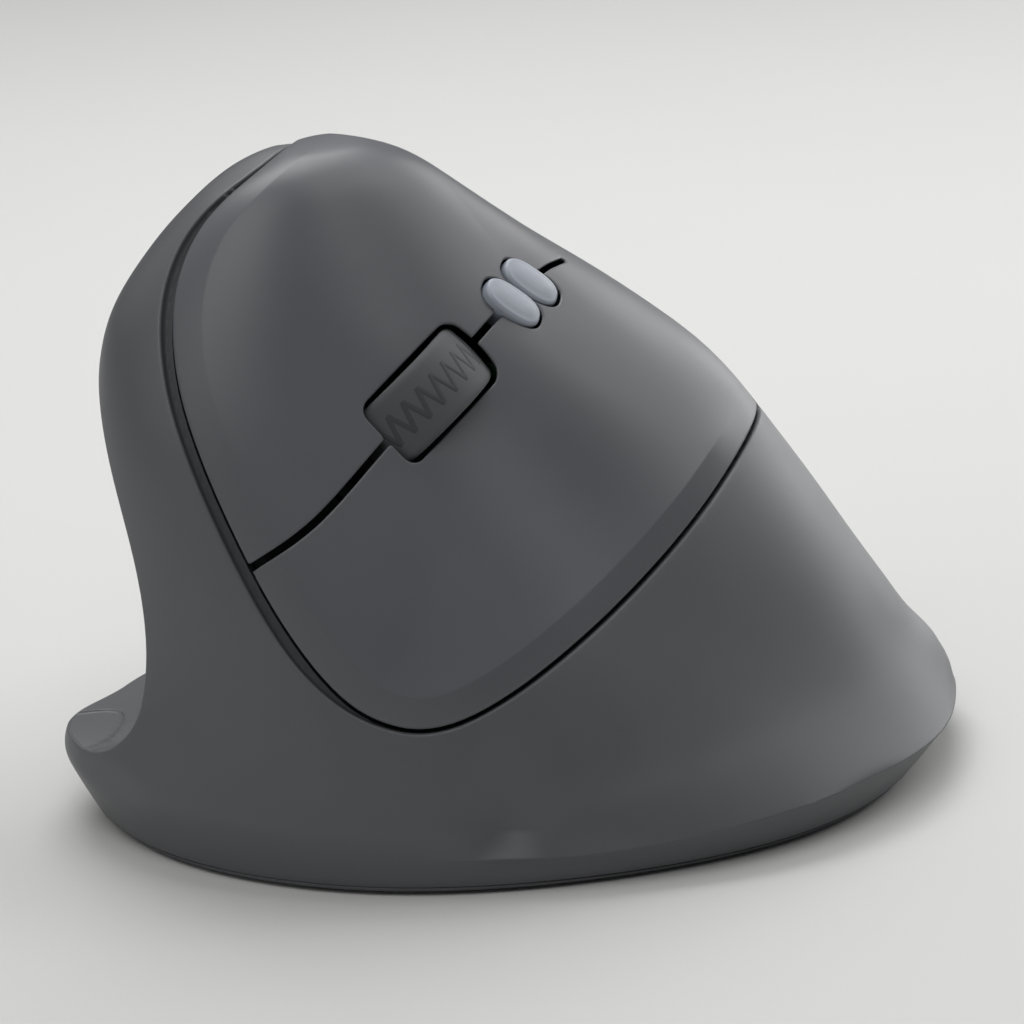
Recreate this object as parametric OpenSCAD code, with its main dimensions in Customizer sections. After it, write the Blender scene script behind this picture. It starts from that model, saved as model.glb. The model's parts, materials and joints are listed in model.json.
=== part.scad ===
// Vertical ergonomic mouse for the left hand, in millimetres.
// +Z is up, +Y points to the fingertips, +X to the thumb, and the origin is under the middle of the base.

/* [Body] */
// Length from the front edge to the heel
body_length = 105.6; // [104:0.2:110]
// Width across the thumb lip and the finger flange
body_width = 83.2; // [82:0.2:87]
// Height of the crown above the underside of the base
body_height = 77; // [76:0.5:80]
// Thickness of the outer walls
wall = 2.2; // [1.8:0.1:2.6]
// Radius of the hollow sweep of the thumb scoop, seen from above
scoop_radius = 158; // [140:1:180]
// Height of the thumb shelf above the underside of the base
shelf_height = 9; // [7.5:0.1:9.5]
// Radius between the thumb shelf and the thumb wall
shelf_corner = 7; // [6:0.5:9]

/* [Base] */
// Thickness of the glide feet
foot_height = 0.6; // [0.4:0.1:1]
// Height of the base plate's edge that shows under the shell
base_edge = 1; // [0.8:0.1:1.4]
// Height of the floor that stands up inside the shell
base_floor = 1; // [0.8:0.1:1.4]
// Side clearance between the floor and the shell
floor_clearance = 0.3; // [0.2:0.05:0.5]
// Thread diameter of the base screws
screw_d = 2.5; // [2:0.1:3]
// Head diameter of the base screws
screw_head_d = 4.6; // [4:0.1:5]

/* [Panel and keys] */
// Thickness of the key panel along its draw direction
key_thickness = 2.2; // [1.8:0.1:2.6]
// Width of the groove between the panel and the shell
panel_gap = 0.7; // [0.5:0.1:1]
// Width of the slit between the two keys
key_slit = 0.9; // [0.6:0.1:1.2]
// Width of the flex line between the keys and the ridge cover
hinge_gap = 0.5; // [0.4:0.1:0.8]
// Depth of the key frame under the panel's surface
frame_depth = 4.4; // [4.2:0.1:5]
// Thickness of the key frame
frame_thickness = 1.4; // [1.2:0.1:1.8]
// Diameter of the post under each key
key_post_d = 3.4; // [3:0.1:4]
// Depth of the switch plungers' tops under the panel's middle
plunger_depth = 7; // [6.8:0.1:7.4]
// Running clearance of plungers, stems and sliders in their holes
slide_clearance = 0.2; // [0.15:0.05:0.3]

/* [Scroll wheel] */
// Diameter of the tyre
wheel_d = 22; // [20:0.5:23]
// Width of the tyre
wheel_width = 7.8; // [7:0.1:8.2]
// Height of the tyre above the panel
wheel_proud = 3.1; // [2.6:0.1:3.4]
// Diameter of the hub under the tyre
hub_d = 17; // [15:0.5:18]
// Diameter of the wheel's axle
axle_d = 2; // [1.6:0.1:2.4]
// Radial clearance of the hub on its axle
axle_clearance = 0.06; // [0.03:0.01:0.09]
// Clearance between the tyre and its slot, on each side
wheel_clearance = 0.6; // [0.5:0.1:0.8]
// Travel of the wheel when it is clicked
wheel_click = 0.5; // [0.3:0.1:0.6]

/* [Small buttons] */
// Length of a DPI button across the slit
dpi_length = 7.2; // [6.6:0.1:7.6]
// Width of a DPI button along the slit
dpi_width = 3.4; // [3:0.1:3.6]
// Height of the DPI buttons above the panel
dpi_proud = 1.5; // [1:0.1:1.8]
// Length of a thumb button
thumb_length = 12; // [11:0.2:12.6]
// Height of a thumb button
thumb_height = 6; // [5:0.1:7]
// How far the thumb buttons stand out of the thumb wall
thumb_proud = 1.4; // [1:0.1:2]
// Travel of the small buttons
press = 0.4; // [0.3:0.05:0.5]
// Gap round each small button
button_gap = 0.3; // [0.25:0.05:0.4]

/* [Boards and power] */
// Thickness of the circuit boards
board_thickness = 1.6; // [1.2:0.1:1.8]
// Height of the main board's underside above the floor
board_stand = 4.2; // [4:0.1:5]
// Diameter of the AA cell
cell_d = 14.2; // [13.7:0.1:14.5]
// Length of the AA cell without its nub
cell_length = 49.2; // [48:0.2:49.6]
// Width of the battery door
door_width = 14.2; // [13:0.2:15]
// Travel of the power slider
slider_travel = 3; // [2:0.5:3]

/* [Hidden] */
eps = 0.01;

// Lines plan of the body: height, centre x and y, then the radius at twelve bearings,
// every 30 degrees from the thumb side over the front to the finger side and the heel
LEVELS = [
    [0, 0, -6, 36, 43, 58, 46.5, 36, 32, 34, 41, 48, 50, 46, 39],
    [3, 0, -6, 38, 45, 60, 47, 36.5, 33.5, 36, 43, 51, 52, 47, 40],
    [6, 0, -6, 40, 46, 62, 47, 37, 34.5, 37.5, 45, 54, 54, 49, 41],
    [7.5, 0, -6, 41, 47, 63, 47, 37, 34, 37, 45, 54.5, 54, 49, 41.5],
    [9.5, 1, -5.5, 41, 47, 62, 46.5, 37, 32.5, 34.5, 42, 52, 53, 48, 41],
    [14, 2, -5, 40, 44, 58, 46, 37, 31, 31.5, 38, 49, 52, 46, 40],
    [22, 5, -4, 36, 39, 52, 45, 37, 30.5, 29, 36, 47, 50, 43, 36],
    [35, 9, 0, 30, 33, 45, 42, 31.5, 26, 25, 33, 43, 48, 39, 31],
    [50, 14, 7, 21, 24, 37, 36, 22.5, 18.5, 18, 27, 39, 43, 30, 22],
    [62, 18, 11, 15, 17, 26, 25, 19, 14, 13, 16.5, 25, 30, 22, 16],
    [72, 20, 13, 9.5, 11, 16, 16, 12.5, 9.5, 9, 11, 16, 19, 14, 10],
    [77, 21, 13, 6, 7, 10, 10, 8, 6, 6, 7, 10, 11, 8, 6],
    [77, 21, 13, 0, 0, 0, 0, 0, 0, 0, 0, 0, 0, 0, 0]
];
bearings = 12;
spans = len(LEVELS) - 3;
rings = 26;
sides = 48;
// Size of the body that the lines plan draws, to a tenth of a millimetre
plan_points = [for (i = [0:rings - 1]) each plan_ring(i * spans / rings, 0)];
plan_size = [span([for (p = plan_points) p.x]), span([for (p = plan_points) p.y]), LEVELS[spans + 2][0]];
// Move that brings the lines plan's outline over the origin
plan_shift = [-1.8, 6.3, 0];
plan_scale = [body_width / plan_size.x, body_length / plan_size.y, body_height / plan_size.z];

// Heights
base_z = foot_height;
seam_z = base_z + base_edge;
floor_z = seam_z + base_floor;
board_z = floor_z + board_stand;

// Thumb scoop: its deepest place, and a vertical axis far outside the thumb side
scoop_face = [10.2 * plan_scale.x, 14.3 * plan_scale.y];
scoop_axis = scoop_face + [scoop_radius, 0];
scoop_low = base_z + shelf_height;
scoop_turn = scoop_low + shelf_corner;
scoop_lean = 45 * plan_scale.z ^ 2 / plan_scale.x;
scoop_top = 64 * plan_scale.z;
scoop_reach = 46 * plan_scale.x;
shelf_rise = 0.02;

// Panel frame: origin on the surface in the middle of the wheel, +Z out of the panel, +Y along the slit
panel_at = form_point([-1.6, 14.3, 52.6]);
// Its yaw, tilt and roll on the lines plan, from which it follows the body's size
plan_turn = [-17, 57, 33];
plan_normal = unscaled(panel_way([0, 0, 1], plan_turn));
panel_rise = 1 / norm(plan_normal);
panel_normal = panel_rise * plan_normal;
panel_across = scaled(panel_way([1, 0, 0], plan_turn));
panel_along = scaled(panel_way([0, 1, 0], plan_turn));
panel_grow = [norm(panel_across), norm(panel_along)];
panel_yaw = atan2(-panel_normal.y, -panel_normal.x);
panel_tilt = acos(panel_normal.z);
panel_roll = atan2(-panel_along * panel_way([1, 0, 0], [panel_yaw, panel_tilt, 0]),
    panel_along * panel_way([0, 1, 0], [panel_yaw, panel_tilt, 0]));
panel_floor = 15 * panel_rise;
key_drop = 1.2;
panel_top = 30;
hinge_y = -26 * panel_grow.y;
hinge_angle = 16;
frame_grow = 1.2;
frame_clearance = 1;
far = 90;
// Rounds of the panel's outline: centre and radius, then the square behind the ridge: corner and size
panel_rounds = [[9.4, 0, 21.8], [6.1, 15.9, 10], [-15, 16, 15.6], [-20.4, -6, 12]];
panel_rear = [-31.4, -75];
panel_rear_size = [53.9, 10];
slot_corner = 1.6;

// Stack under the panel, as depths along the panel's normal
switch_size = [5.8, 12.8, 6.5];
plunger = [2.6, 1.4, 2.4];
plunger_proud = 1;
key_press = 0.7;
switch_top = plunger_depth + plunger_proud;
upper_board_top = switch_top + switch_size.z;
upper_board_low = upper_board_top + board_thickness;
post_touch = 0.1;
key_switch_at = [11, 10];
wheel_depth = wheel_d / 2 - wheel_proud;
slot_width = wheel_width + 2 * wheel_clearance;
slot_length = 17;
upper_board_size = on_grown([39, 38]);
upper_board_at = [0, 1];
board_post_d = 5;
board_posts = [for (p = [[17, 17], [-17, 17], [15, -13], [-15, -13]]) on_grown(p)];
board_screw_d = 1.8;
board_screw_head = [3.4, 1.2];
board_screw_bite = 4;
hole_play = 0.2;
pilot_play = 0.3;
over_travel = 0.2;
lug_depth = 13.6 * panel_rise;
lug_height = 3;
lug_reach = 24 * max(panel_grow);
// Middle of each lug that carries the key frame, and the way to its wall
lugs = [for (p = [[26, -3, 0], [5, 24, 90], [-29, -20, 215]]) concat(on_grown(p), p[2])];
lug_size = [6, 7];

// Wheel carriage
cheek = 1.2;
cheek_gap = 0.5;
cheek_in = wheel_width / 2 + cheek_gap;
cheek_out = cheek_in + cheek;
axle_cover = 0.8;
carriage_skirt = 3.6;
carriage_nose = 3.4;
carriage_top = wheel_depth - axle_d / 2 - axle_cover;
carriage_low = wheel_depth + carriage_skirt;
carriage_front = wheel_d / 2 + carriage_nose;
carriage_rear = 3.6;
crossbar = 2.2;
crossbar_height = 3.2;
axle_play = 0.02;
axle_end = 0.5;
tongue = 4;
tongue_low = upper_board_low + 1;
small_switch_height = 3.2;
encoder = [3.4, 6, 6.5];
encoder_gap = 0.8;
encoder_rear = 9;
small_button = [1.6, 0.6];

// DPI buttons, on their own slope behind the wheel
dpi_at = [0, -18, -1.9];
dpi_tilt = 20;
dpi_pitch = dpi_width + 0.4;
dpi_flange = [2, 1];
dpi_skirt = 3.2;
dpi_board_depth = dpi_skirt + dpi_flange.y + press + over_travel + small_switch_height;
dpi_board_size = [22, 8.2, 1];
dpi_board_front = 3.2;
dpi_post = 8.5;
dpi_post_d = 3;

// Thumb buttons, high on the thumb wall
thumb_z = scoop_low + 26.4 * plan_scale.z;
thumb_apart = thumb_length + 1.8;
thumb_back = 18.5 * plan_scale.y;
thumb_radian = 180 / (PI * scoop_wall(thumb_z));
thumb_bearing = 180 + thumb_back * thumb_radian;
thumb_bearings = [for (side = [-1, 1]) thumb_bearing + side * thumb_apart / 2 * thumb_radian];
thumb_flange = [0.6, 0.8];
thumb_inside = 0.5;
thumb_switch = [1.6, 3.5];
thumb_board_x = wall + thumb_inside + thumb_flange.y + press + over_travel + thumb_switch.x;
thumb_post_d = 3;
thumb_post_z = thumb_height / 2 + thumb_flange.x + thumb_post_d / 2 + 0.4;
thumb_board_size = [0.8, 20, 2 * thumb_post_z + thumb_post_d];

// Base
screw_bearings = [30, 110, 200, 300, 335];
screw_inset = 5;
boss_d = 6.4;
boss_height = 8;
boss_rib = 3;
screw_length = 5.5;
screw_head = 0.7;
screw_sunk = 0.1;
// Pads of the feet: place, length, width and turn
feet = [[12, 40, 18, 5, -10], [-29.5, 4, 18, 5, 82], [3, -44, 16, 5, 3], [29, 2, 18, 5, 92]];

// Battery bay along the finger side, with the door leaving at the heel
cell_at = [-17, -34.5];
cell_nub = [5.3, 1.2];
cell_seat = 0.3;
door_gap = 0.1;
door_tongue = [1, 0.4];
cell_z = seam_z - door_gap + cell_seat + cell_d / 2;
bay_gap = 0.25;
bay_lip = 1;
bay_width = door_width + 2 * bay_gap;
contact = 0.6;
spring_length = 3;
spring_d = 8.5;
plate_width = 7;
bay_front = cell_at.y + cell_length + cell_nub.y + contact + door_gap;
rail = 1.6;
rail_height = 8;

// Boards in the base
main_board_size = [15, 66];
main_board_at = [1.5, 6];
sensor_at = [1.5, 12];
sensor_size = [10, 12, 2.4];
window = 8;
lens_size = [12, 14];
lens_sunk = 0.4;
stand_d = 3;
stand_inset = 2;
slider_at = [1.5, -19];
slider_knob = [6, 4];
slider_cap = [1.2, 1.2];
slider_lift = 0.1;
slider_sunk = 0.3;
receiver_size = [14.4, 6.4, 18];
receiver_at = [1.5, -33.5];
cable_at = [1.5, 24];
cable_head_at = [-11, -4];
socket = [10, 4, 2];
cable_foot = [cable_at.x, cable_at.y, board_z + board_thickness + socket.z / 2];
cable_head = panel_point([cable_head_at.x, cable_head_at.y, -upper_board_low - socket.z / 2]);
cable_foot_wide = [1, 0, 0];
cable_head_wide = panel_point([1, 0, 0]) - panel_at;
// Route of the flat cable between its two sockets
cable_route = [for (p = [[1.5, 24, 14], [1.5, 22, 22], [4, 16, 30], [6, 9, 35]]) scaled(p)];
cable_width = 8;
cable_thickness = 0.4;

// Form of the body

// A direction of the panel frame, and a point of it, in the part's frame
function turned(p, a) = [p.x * cos(a) - p.y * sin(a), p.x * sin(a) + p.y * cos(a), p.z];
function tilted(p, a) = [p.x * cos(a) - p.z * sin(a), p.y, p.x * sin(a) + p.z * cos(a)];
function panel_way(p, turn) = turned(tilted(turned(p, turn[2]), turn[1]), turn[0]);
function panel_point(p) = panel_at + panel_way(p, [panel_yaw, panel_tilt, panel_roll]);

// Directions and places that grow with the body
function scaled(p) = [p.x * plan_scale.x, p.y * plan_scale.y, p.z * plan_scale.z];
function unscaled(p) = [p.x / plan_scale.x, p.y / plan_scale.y, p.z / plan_scale.z];
function on_grown(p) = [p.x * panel_grow.x, p.y * panel_grow.y];
function span(list) = round(10 * (max(list) - min(list))) / 10;

// A point of the lines plan in the part's frame
function form_point(p) = [
    (p.x + plan_shift.x) * plan_scale.x,
    (p.y + plan_shift.y) * plan_scale.y,
    base_z + p.z * plan_scale.z
];

// Clamped cubic spline through the levels
function knot(i) = max(0, min(i - 3, spans));
function ramp(i, k, t) = knot(i + k) == knot(i) ? 0 : (t - knot(i)) / (knot(i + k) - knot(i));
function weight(i, k, t) =
    k == 0 ? ((knot(i) <= t && t < knot(i + 1)) ? 1 : 0) :
    ramp(i, k, t) * weight(i, k - 1, t) + (1 - ramp(i + 1, k, t)) * weight(i + 1, k - 1, t);
function level(t, i = 0) =
    i == len(LEVELS) ? 0 * LEVELS[0] : weight(i, 3, t) * LEVELS[i] + level(t, i + 1);

// Closed cubic spline round one level
function radius_at(row, bearing) =
    let (s = bearing * bearings / 360, i = floor(s), f = s - i)
    let (r = [for (k = [-1:2]) row[3 + (i + k + bearings) % bearings]])
    ((1 - f) ^ 3 * r[0] + (3 * f ^ 3 - 6 * f ^ 2 + 4) * r[1]
        + (-3 * f ^ 3 + 3 * f ^ 2 + 3 * f + 1) * r[2] + f ^ 3 * r[3]) / 6;

// Radius and height of a form that lies inside the body by inset
function drawn_in(r, inset) = max(r - 1.2 * inset, 0.35 * r);
function sunk_z(z, inset) = z - inset * (z / LEVELS[spans + 2][0]) ^ 3;

function plan_ring(t, inset) =
    let (row = level(t))
    [for (k = [0:sides - 1])
        let (b = 360 * k / sides, r = drawn_in(radius_at(row, b), inset))
        [row[1] + r * cos(b), row[2] + r * sin(b), sunk_z(row[0], inset)]];
function ring(t, inset) = [for (p = plan_ring(t, inset)) form_point(p)];

// Outline of the base, drawn in by inset
function base_point(bearing, inset) =
    let (row = LEVELS[0], r = radius_at(row, bearing) - inset)
    form_point([row[1] + r * cos(bearing), row[2] + r * sin(bearing), 0]);
function base_outline(inset) =
    [for (k = [0:sides - 1]) let (p = base_point(360 * k / sides, inset)) [p.x, p.y]];

// Whole outer form, or the form of its hollow
module form(inset = 0) {
    layers = [for (i = [0:rings - 1]) ring(i * spans / rings, inset)];
    crown = form_point([LEVELS[len(LEVELS) - 1][1], LEVELS[len(LEVELS) - 1][2], sunk_z(plan_size.z, inset)]);
    points = concat([for (layer = layers) each layer], [crown]);
    last = (rings - 1) * sides;
    quads = [for (i = [0:rings - 2], k = [0:sides - 1])
        let (a = i * sides + k, b = i * sides + (k + 1) % sides)
        each [[a, a + sides, b + sides], [a, b + sides, b]]];
    cap = [for (k = [0:sides - 1]) [last + k, rings * sides, last + (k + 1) % sides]];
    polyhedron(points, concat([[for (k = [0:sides - 1]) k]], quads, cap), convexity = 8);
}

// Evaluates a free-form piece as one closed mesh
module meshed() {
    resize([0, 0, 0]) children();
}

// Section of the scoop, distance from its axis against height
function scoop_wall(z) = scoop_radius - (z - scoop_turn) ^ 2 / (2 * scoop_lean);
function scoop_section() = concat(
    [[scoop_radius - scoop_reach, scoop_top],
     [scoop_radius - scoop_reach, scoop_low + shelf_rise * (scoop_reach - shelf_corner)]],
    [for (a = [0:15:90])
        [scoop_radius - shelf_corner + shelf_corner * sin(a), scoop_turn - shelf_corner * cos(a)]],
    [for (z = [scoop_turn + 6:6:scoop_top]) [scoop_wall(z), z]]
);

module scoop(grow = 0) {
    sweep = 52;
    translate(scoop_axis)
    rotate(180 - sweep / 2)
    rotate_extrude(angle = sweep, $fn = 180)
    offset(delta = grow) polygon(scoop_section());
}

// The body with its scoop, drawn in by inset
module body(inset = 0) {
    difference() {
        form(inset);
        scoop(inset);
    }
}

// Places

module on_panel() {
    translate(panel_at) rotate(panel_yaw) rotate([0, -panel_tilt, 0]) rotate(panel_roll) children();
}

module on_dpi() {
    on_panel() translate(dpi_at) rotate([dpi_tilt, 0, 0]) children();
}

// +X points into the body, square to the thumb wall
module on_thumb(bearing) {
    translate(scoop_axis)
    rotate(bearing)
    translate([scoop_wall(thumb_z), 0, thumb_z])
    rotate([0, -atan((thumb_z - scoop_turn) / scoop_lean), 0])
    children();
}

// Moves a form inwards along the panel's draw direction
module drawn(depth) {
    translate(-depth * panel_normal) children();
}

// Panel

// Outline seen square on: round at the front, open to the rear
module panel_outline(grow) {
    offset(delta = grow)
    scale(panel_grow)
    hull() {
        for (c = panel_rounds)
            translate([c[0], c[1]]) circle(c[2], $fn = 64);
        translate(panel_rear) square(panel_rear_size);
    }
}

module panel_zone(grow, low = panel_floor) {
    on_panel() translate([0, 0, -low]) linear_extrude(low + panel_top) panel_outline(grow);
}

// Everything in front of the flex line by gap, or behind it where gap is negative
module before_hinge(gap) {
    on_panel()
    translate([0, hinge_y, 0])
    rotate(hinge_angle)
    translate([-far, gap > 0 ? gap : -2 * far + gap, -far])
    cube([2 * far, 2 * far, 2 * far]);
}

module key_side(side) {
    on_panel()
    translate([side > 0 ? key_slit / 2 : -far - key_slit / 2, -far, -far])
    cube([far, 2 * far, 2 * far]);
}

module rounded_slot(size, corner, height) {
    linear_extrude(height, center = true)
    offset(r = corner, $fn = 32) square([size.x - 2 * corner, size.y - 2 * corner], center = true);
}

module wheel_opening() {
    on_panel() rounded_slot([slot_width, slot_length], slot_corner, 2 * panel_floor);
    on_axle() cylinder(d = wheel_d + 2 * wheel_clearance, h = slot_width, center = true, $fn = 96);
}

module pill(length, width) {
    hull()
    for (side = [-1, 1])
        translate([side * (length - width) / 2, 0]) circle(d = width, $fn = 32);
}

module dpi_opening(grow) {
    on_dpi()
    for (side = [-1, 1])
        translate([0, side * dpi_pitch / 2, -panel_floor])
        linear_extrude(2 * panel_floor)
        pill(dpi_length + 2 * grow, dpi_width + 2 * grow);
}

module key_post(side) {
    on_panel()
    translate([side * key_switch_at.x, key_switch_at.y, -plunger_depth + post_touch])
    cylinder(d = key_post_d, h = plunger_depth - key_thickness / 2 - post_touch, $fn = 24);
}

module key(side) {
    difference() {
        intersection() {
            form();
            panel_zone(-panel_gap / 2, panel_floor - key_drop);
            before_hinge(hinge_gap / 2);
            key_side(side);
        }
        intersection() {
            drawn(key_thickness) form();
            form(key_thickness);
        }
        wheel_opening();
        dpi_opening(button_gap);
    }
    intersection() {
        key_post(side);
        form();
    }
}

module index_key() {
    color("#4a4b4d") meshed() key(1);
}

module middle_key() {
    color("#4a4b4d") meshed() key(-1);
}

module ridge_cover() {
    color("#4a4b4d")
    meshed()
    intersection() {
        difference() {
            form();
            form(wall);
        }
        panel_zone(-panel_gap / 2);
        before_hinge(-hinge_gap / 2);
    }
}

// Shell and base

// +X points out to the nearest wall
module screw_places() {
    for (b = screw_bearings) {
        p = base_point(b, screw_inset);
        translate([p.x, p.y]) rotate(b) children();
    }
}

module screw_bosses() {
    screw_places()
    translate([0, 0, floor_z]) {
        cylinder(d = boss_d, h = boss_height, $fn = 32);
        translate([0, -boss_rib / 2, 0]) cube([2 * screw_inset, boss_rib, boss_height]);
    }
}

module frame_lugs() {
    on_panel()
    for (lug = lugs)
        translate([lug[0], lug[1], -lug_depth - lug_height])
        rotate(lug[2])
        translate([-lug_size.x / 2, -lug_size.y / 2, 0])
        cube([lug_size.x / 2 + lug_reach, lug_size.y, lug_height]);
}

module thumb_places() {
    for (b = thumb_bearings)
        on_thumb(b) children();
}

module thumb_middle() {
    on_thumb(thumb_bearing) children();
}

module thumb_posts() {
    thumb_middle()
    for (side = [-1, 1])
        translate([wall / 2, 0, side * thumb_post_z])
        rotate([0, 90, 0])
        cylinder(d = thumb_post_d, h = thumb_board_x - wall / 2, $fn = 24);
}

module thumb_pill(grow, low, high) {
    translate([low, 0, 0])
    rotate([90, 0, 90])
    linear_extrude(high - low)
    pill(thumb_length + 2 * grow, thumb_height + 2 * grow);
}

module main_shell() {
    color("#46474a")
    meshed()
    difference() {
        union() {
            difference() {
                body();
                body(wall);
                panel_zone(panel_gap / 2);
                thumb_places() thumb_pill(button_gap, -far / 4, 2 * wall);
            }
            intersection() {
                union() {
                    frame_lugs();
                    thumb_posts();
                    screw_bosses();
                }
                body(wall / 2);
            }
        }
        translate([-far, -far, -far]) cube([2 * far, 2 * far, far + seam_z]);
        screw_places()
        cylinder(d = screw_d + pilot_play, h = base_z + screw_sunk + screw_length + pilot_play, $fn = 32);
    }
}

// Tray round the cell, with a wall behind each contact
module battery_tray() {
    half = cell_d / 2 + cell_seat;
    rear = cell_at.y - spring_length - rail;
    difference() {
        translate([cell_at.x - half - rail, rear, floor_z - eps])
        cube([2 * (half + rail), bay_front + rail - rear, rail_height]);
        translate([cell_at.x - half, rear + rail, floor_z - 1])
        cube([2 * half, bay_front - rear - rail, rail_height + 2]);
    }
}

module board_stands() {
    for (x = [-1, 1], y = [-1, 1])
        translate([main_board_at.x + x * (main_board_size.x / 2 - stand_inset),
            main_board_at.y + y * (main_board_size.y / 2 - stand_inset), floor_z - eps])
        cylinder(d = stand_d, h = board_stand + eps, $fn = 32);
}

module base_plate() {
    color("#343536")
    difference() {
        union() {
            translate([0, 0, base_z]) linear_extrude(base_edge) polygon(base_outline(0));
            translate([0, 0, seam_z - eps])
            linear_extrude(base_floor + eps)
            polygon(base_outline(1.2 * wall + floor_clearance));
            battery_tray();
            board_stands();
        }
        translate([cell_at.x - bay_width / 2, -far, 0]) cube([bay_width, far + bay_front - bay_lip, floor_z]);
        translate([cell_at.x - bay_width / 2 - door_tongue.x, -far, seam_z - 2 * door_gap - door_tongue.y])
        cube([bay_width + 2 * door_tongue.x, far + bay_front - bay_lip, door_tongue.y + 2 * door_gap]);
        translate([sensor_at.x - window / 2, sensor_at.y - window / 2, 0])
        cube([window, window, floor_z + eps]);
        translate([slider_at.x - slider_knob.x / 2 - slide_clearance,
            slider_at.y - slider_knob.y / 2 - slide_clearance, 0])
        cube([slider_knob.x + 2 * slide_clearance,
            slider_knob.y + slider_travel + 2 * slide_clearance, floor_z + eps]);
        translate([receiver_at.x - receiver_size.x / 2 - slide_clearance,
            receiver_at.y - receiver_size.y / 2 - slide_clearance, 0])
        cube([receiver_size.x + 2 * slide_clearance, receiver_size.y + 2 * slide_clearance, floor_z + eps]);
        screw_places() cylinder(d = screw_d + hole_play, h = floor_z + eps, $fn = 32);
        screw_places()
        cylinder(d = screw_head_d + 2 * hole_play, h = base_z + screw_sunk + screw_head, $fn = 32);
    }
}

module base_screws() {
    color("silver")
    screw_places()
    translate([0, 0, base_z + screw_sunk]) {
        cylinder(d = screw_head_d, h = screw_head, $fn = 32);
        cylinder(d = screw_d, h = screw_length, $fn = 32);
    }
}

module glide_feet() {
    color("#202122")
    for (pad = feet)
        translate([pad[0] * plan_scale.x, pad[1] * plan_scale.y])
        rotate(pad[4])
        linear_extrude(foot_height)
        union() {
            square([pad[2] - pad[3], pad[3]], center = true);
            for (side = [-1, 1])
                translate([side * (pad[2] - pad[3]) / 2, 0]) circle(d = pad[3], $fn = 32);
        }
}

// Key frame and what it carries

module key_frame() {
    color("#2a2b2d")
    meshed()
    difference() {
        union() {
            difference() {
                intersection() {
                    drawn(frame_depth) form();
                    body(wall + frame_clearance);
                    panel_zone(frame_grow);
                    before_hinge(hinge_gap / 2);
                }
                drawn(frame_depth + frame_thickness) form();
                on_panel()
                for (side = [-1, 1])
                    translate([side * key_switch_at.x, key_switch_at.y, 0])
                    cube([switch_size.x + cheek_gap, switch_size.y + cheek_gap, 4 * panel_floor], center = true);
                on_panel()
                translate([-cheek_out - cheek_gap, -wheel_d / 2 - 1, -2 * panel_floor])
                cube([2 * (cheek_out + cheek_gap), wheel_d / 2 + 1 + carriage_front + 1, 4 * panel_floor]);
                on_dpi()
                cube([dpi_length + 2 * dpi_flange.x + 1, 2 * dpi_pitch + 1, 2 * panel_floor], center = true);
            }
            intersection() {
                union() {
                    on_panel()
                    for (lug = lugs)
                        translate([lug[0], lug[1], -lug_depth])
                        rotate(lug[2])
                        translate([-lug_size.x / 2, -lug_size.y / 2 + 0.5, 0])
                        cube([lug_size.x * 0.8, lug_size.y - 1, lug_depth]);
                    on_panel()
                    for (p = board_posts)
                        translate([p.x, p.y, -upper_board_top])
                        cylinder(d = board_post_d, h = upper_board_top, $fn = 24);
                    on_dpi()
                    for (side = [-1, 1])
                        translate([side * dpi_post, -1, -dpi_board_depth])
                        cylinder(d = dpi_post_d, h = dpi_board_depth, $fn = 24);
                }
                drawn(frame_depth + frame_thickness / 2) form();
                body(wall + frame_clearance);
            }
        }
        on_panel()
        for (p = board_posts)
            translate([p.x, p.y, -upper_board_top - eps])
            cylinder(d = board_screw_d + pilot_play, h = board_screw_bite + 1, $fn = 24);
    }
}

module upper_board() {
    color("darkgreen")
    on_panel()
    translate([0, 0, -upper_board_low])
    difference() {
        translate([upper_board_at.x - upper_board_size.x / 2, upper_board_at.y - upper_board_size.y / 2, 0])
        cube([upper_board_size.x, upper_board_size.y, board_thickness]);
        translate([0, 0, board_thickness / 2]) {
            cube([slot_width, wheel_d - 1, 2 * board_thickness], center = true);
            cube([2 * (cheek_out + slide_clearance), tongue + 2 * slide_clearance, 2 * board_thickness],
                center = true);
        }
        for (p = board_posts)
            translate([p.x, p.y, -eps])
            cylinder(d = board_screw_d + hole_play, h = 2 * board_thickness, $fn = 32);
    }
}

module board_screws() {
    color("silver")
    on_panel()
    for (p = board_posts)
        translate([p.x, p.y, -upper_board_low]) {
            translate([0, 0, -board_screw_head.y])
            cylinder(d = board_screw_head.x, h = board_screw_head.y, $fn = 32);
            cylinder(d = board_screw_d, h = board_thickness + board_screw_bite, $fn = 32);
        }
}

module key_switch(side) {
    on_panel()
    translate([side * key_switch_at.x, key_switch_at.y, -upper_board_top])
    difference() {
        translate([-switch_size.x / 2, -switch_size.y / 2, 0]) cube(switch_size);
        translate([-plunger.x / 2 - slide_clearance, -plunger.y / 2 - slide_clearance,
            switch_size.z + plunger_proud - plunger.z - key_press - slide_clearance])
        cube([plunger.x + 2 * slide_clearance, plunger.y + 2 * slide_clearance, switch_size.z]);
    }
}

module index_switch() {
    color("#1c1c1e") key_switch(1);
}

module middle_switch() {
    color("#1c1c1e") key_switch(-1);
}

module key_plunger(side) {
    on_panel()
    translate([side * key_switch_at.x, key_switch_at.y, -plunger_depth])
    translate([-plunger.x / 2, -plunger.y / 2, -plunger.z])
    cube(plunger);
}

module index_plunger() {
    color("white") key_plunger(1);
}

module middle_plunger() {
    color("white") key_plunger(-1);
}

// Scroll wheel

module on_axle() {
    on_panel() translate([0, 0, -wheel_depth]) rotate([0, 90, 0]) children();
}

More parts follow.
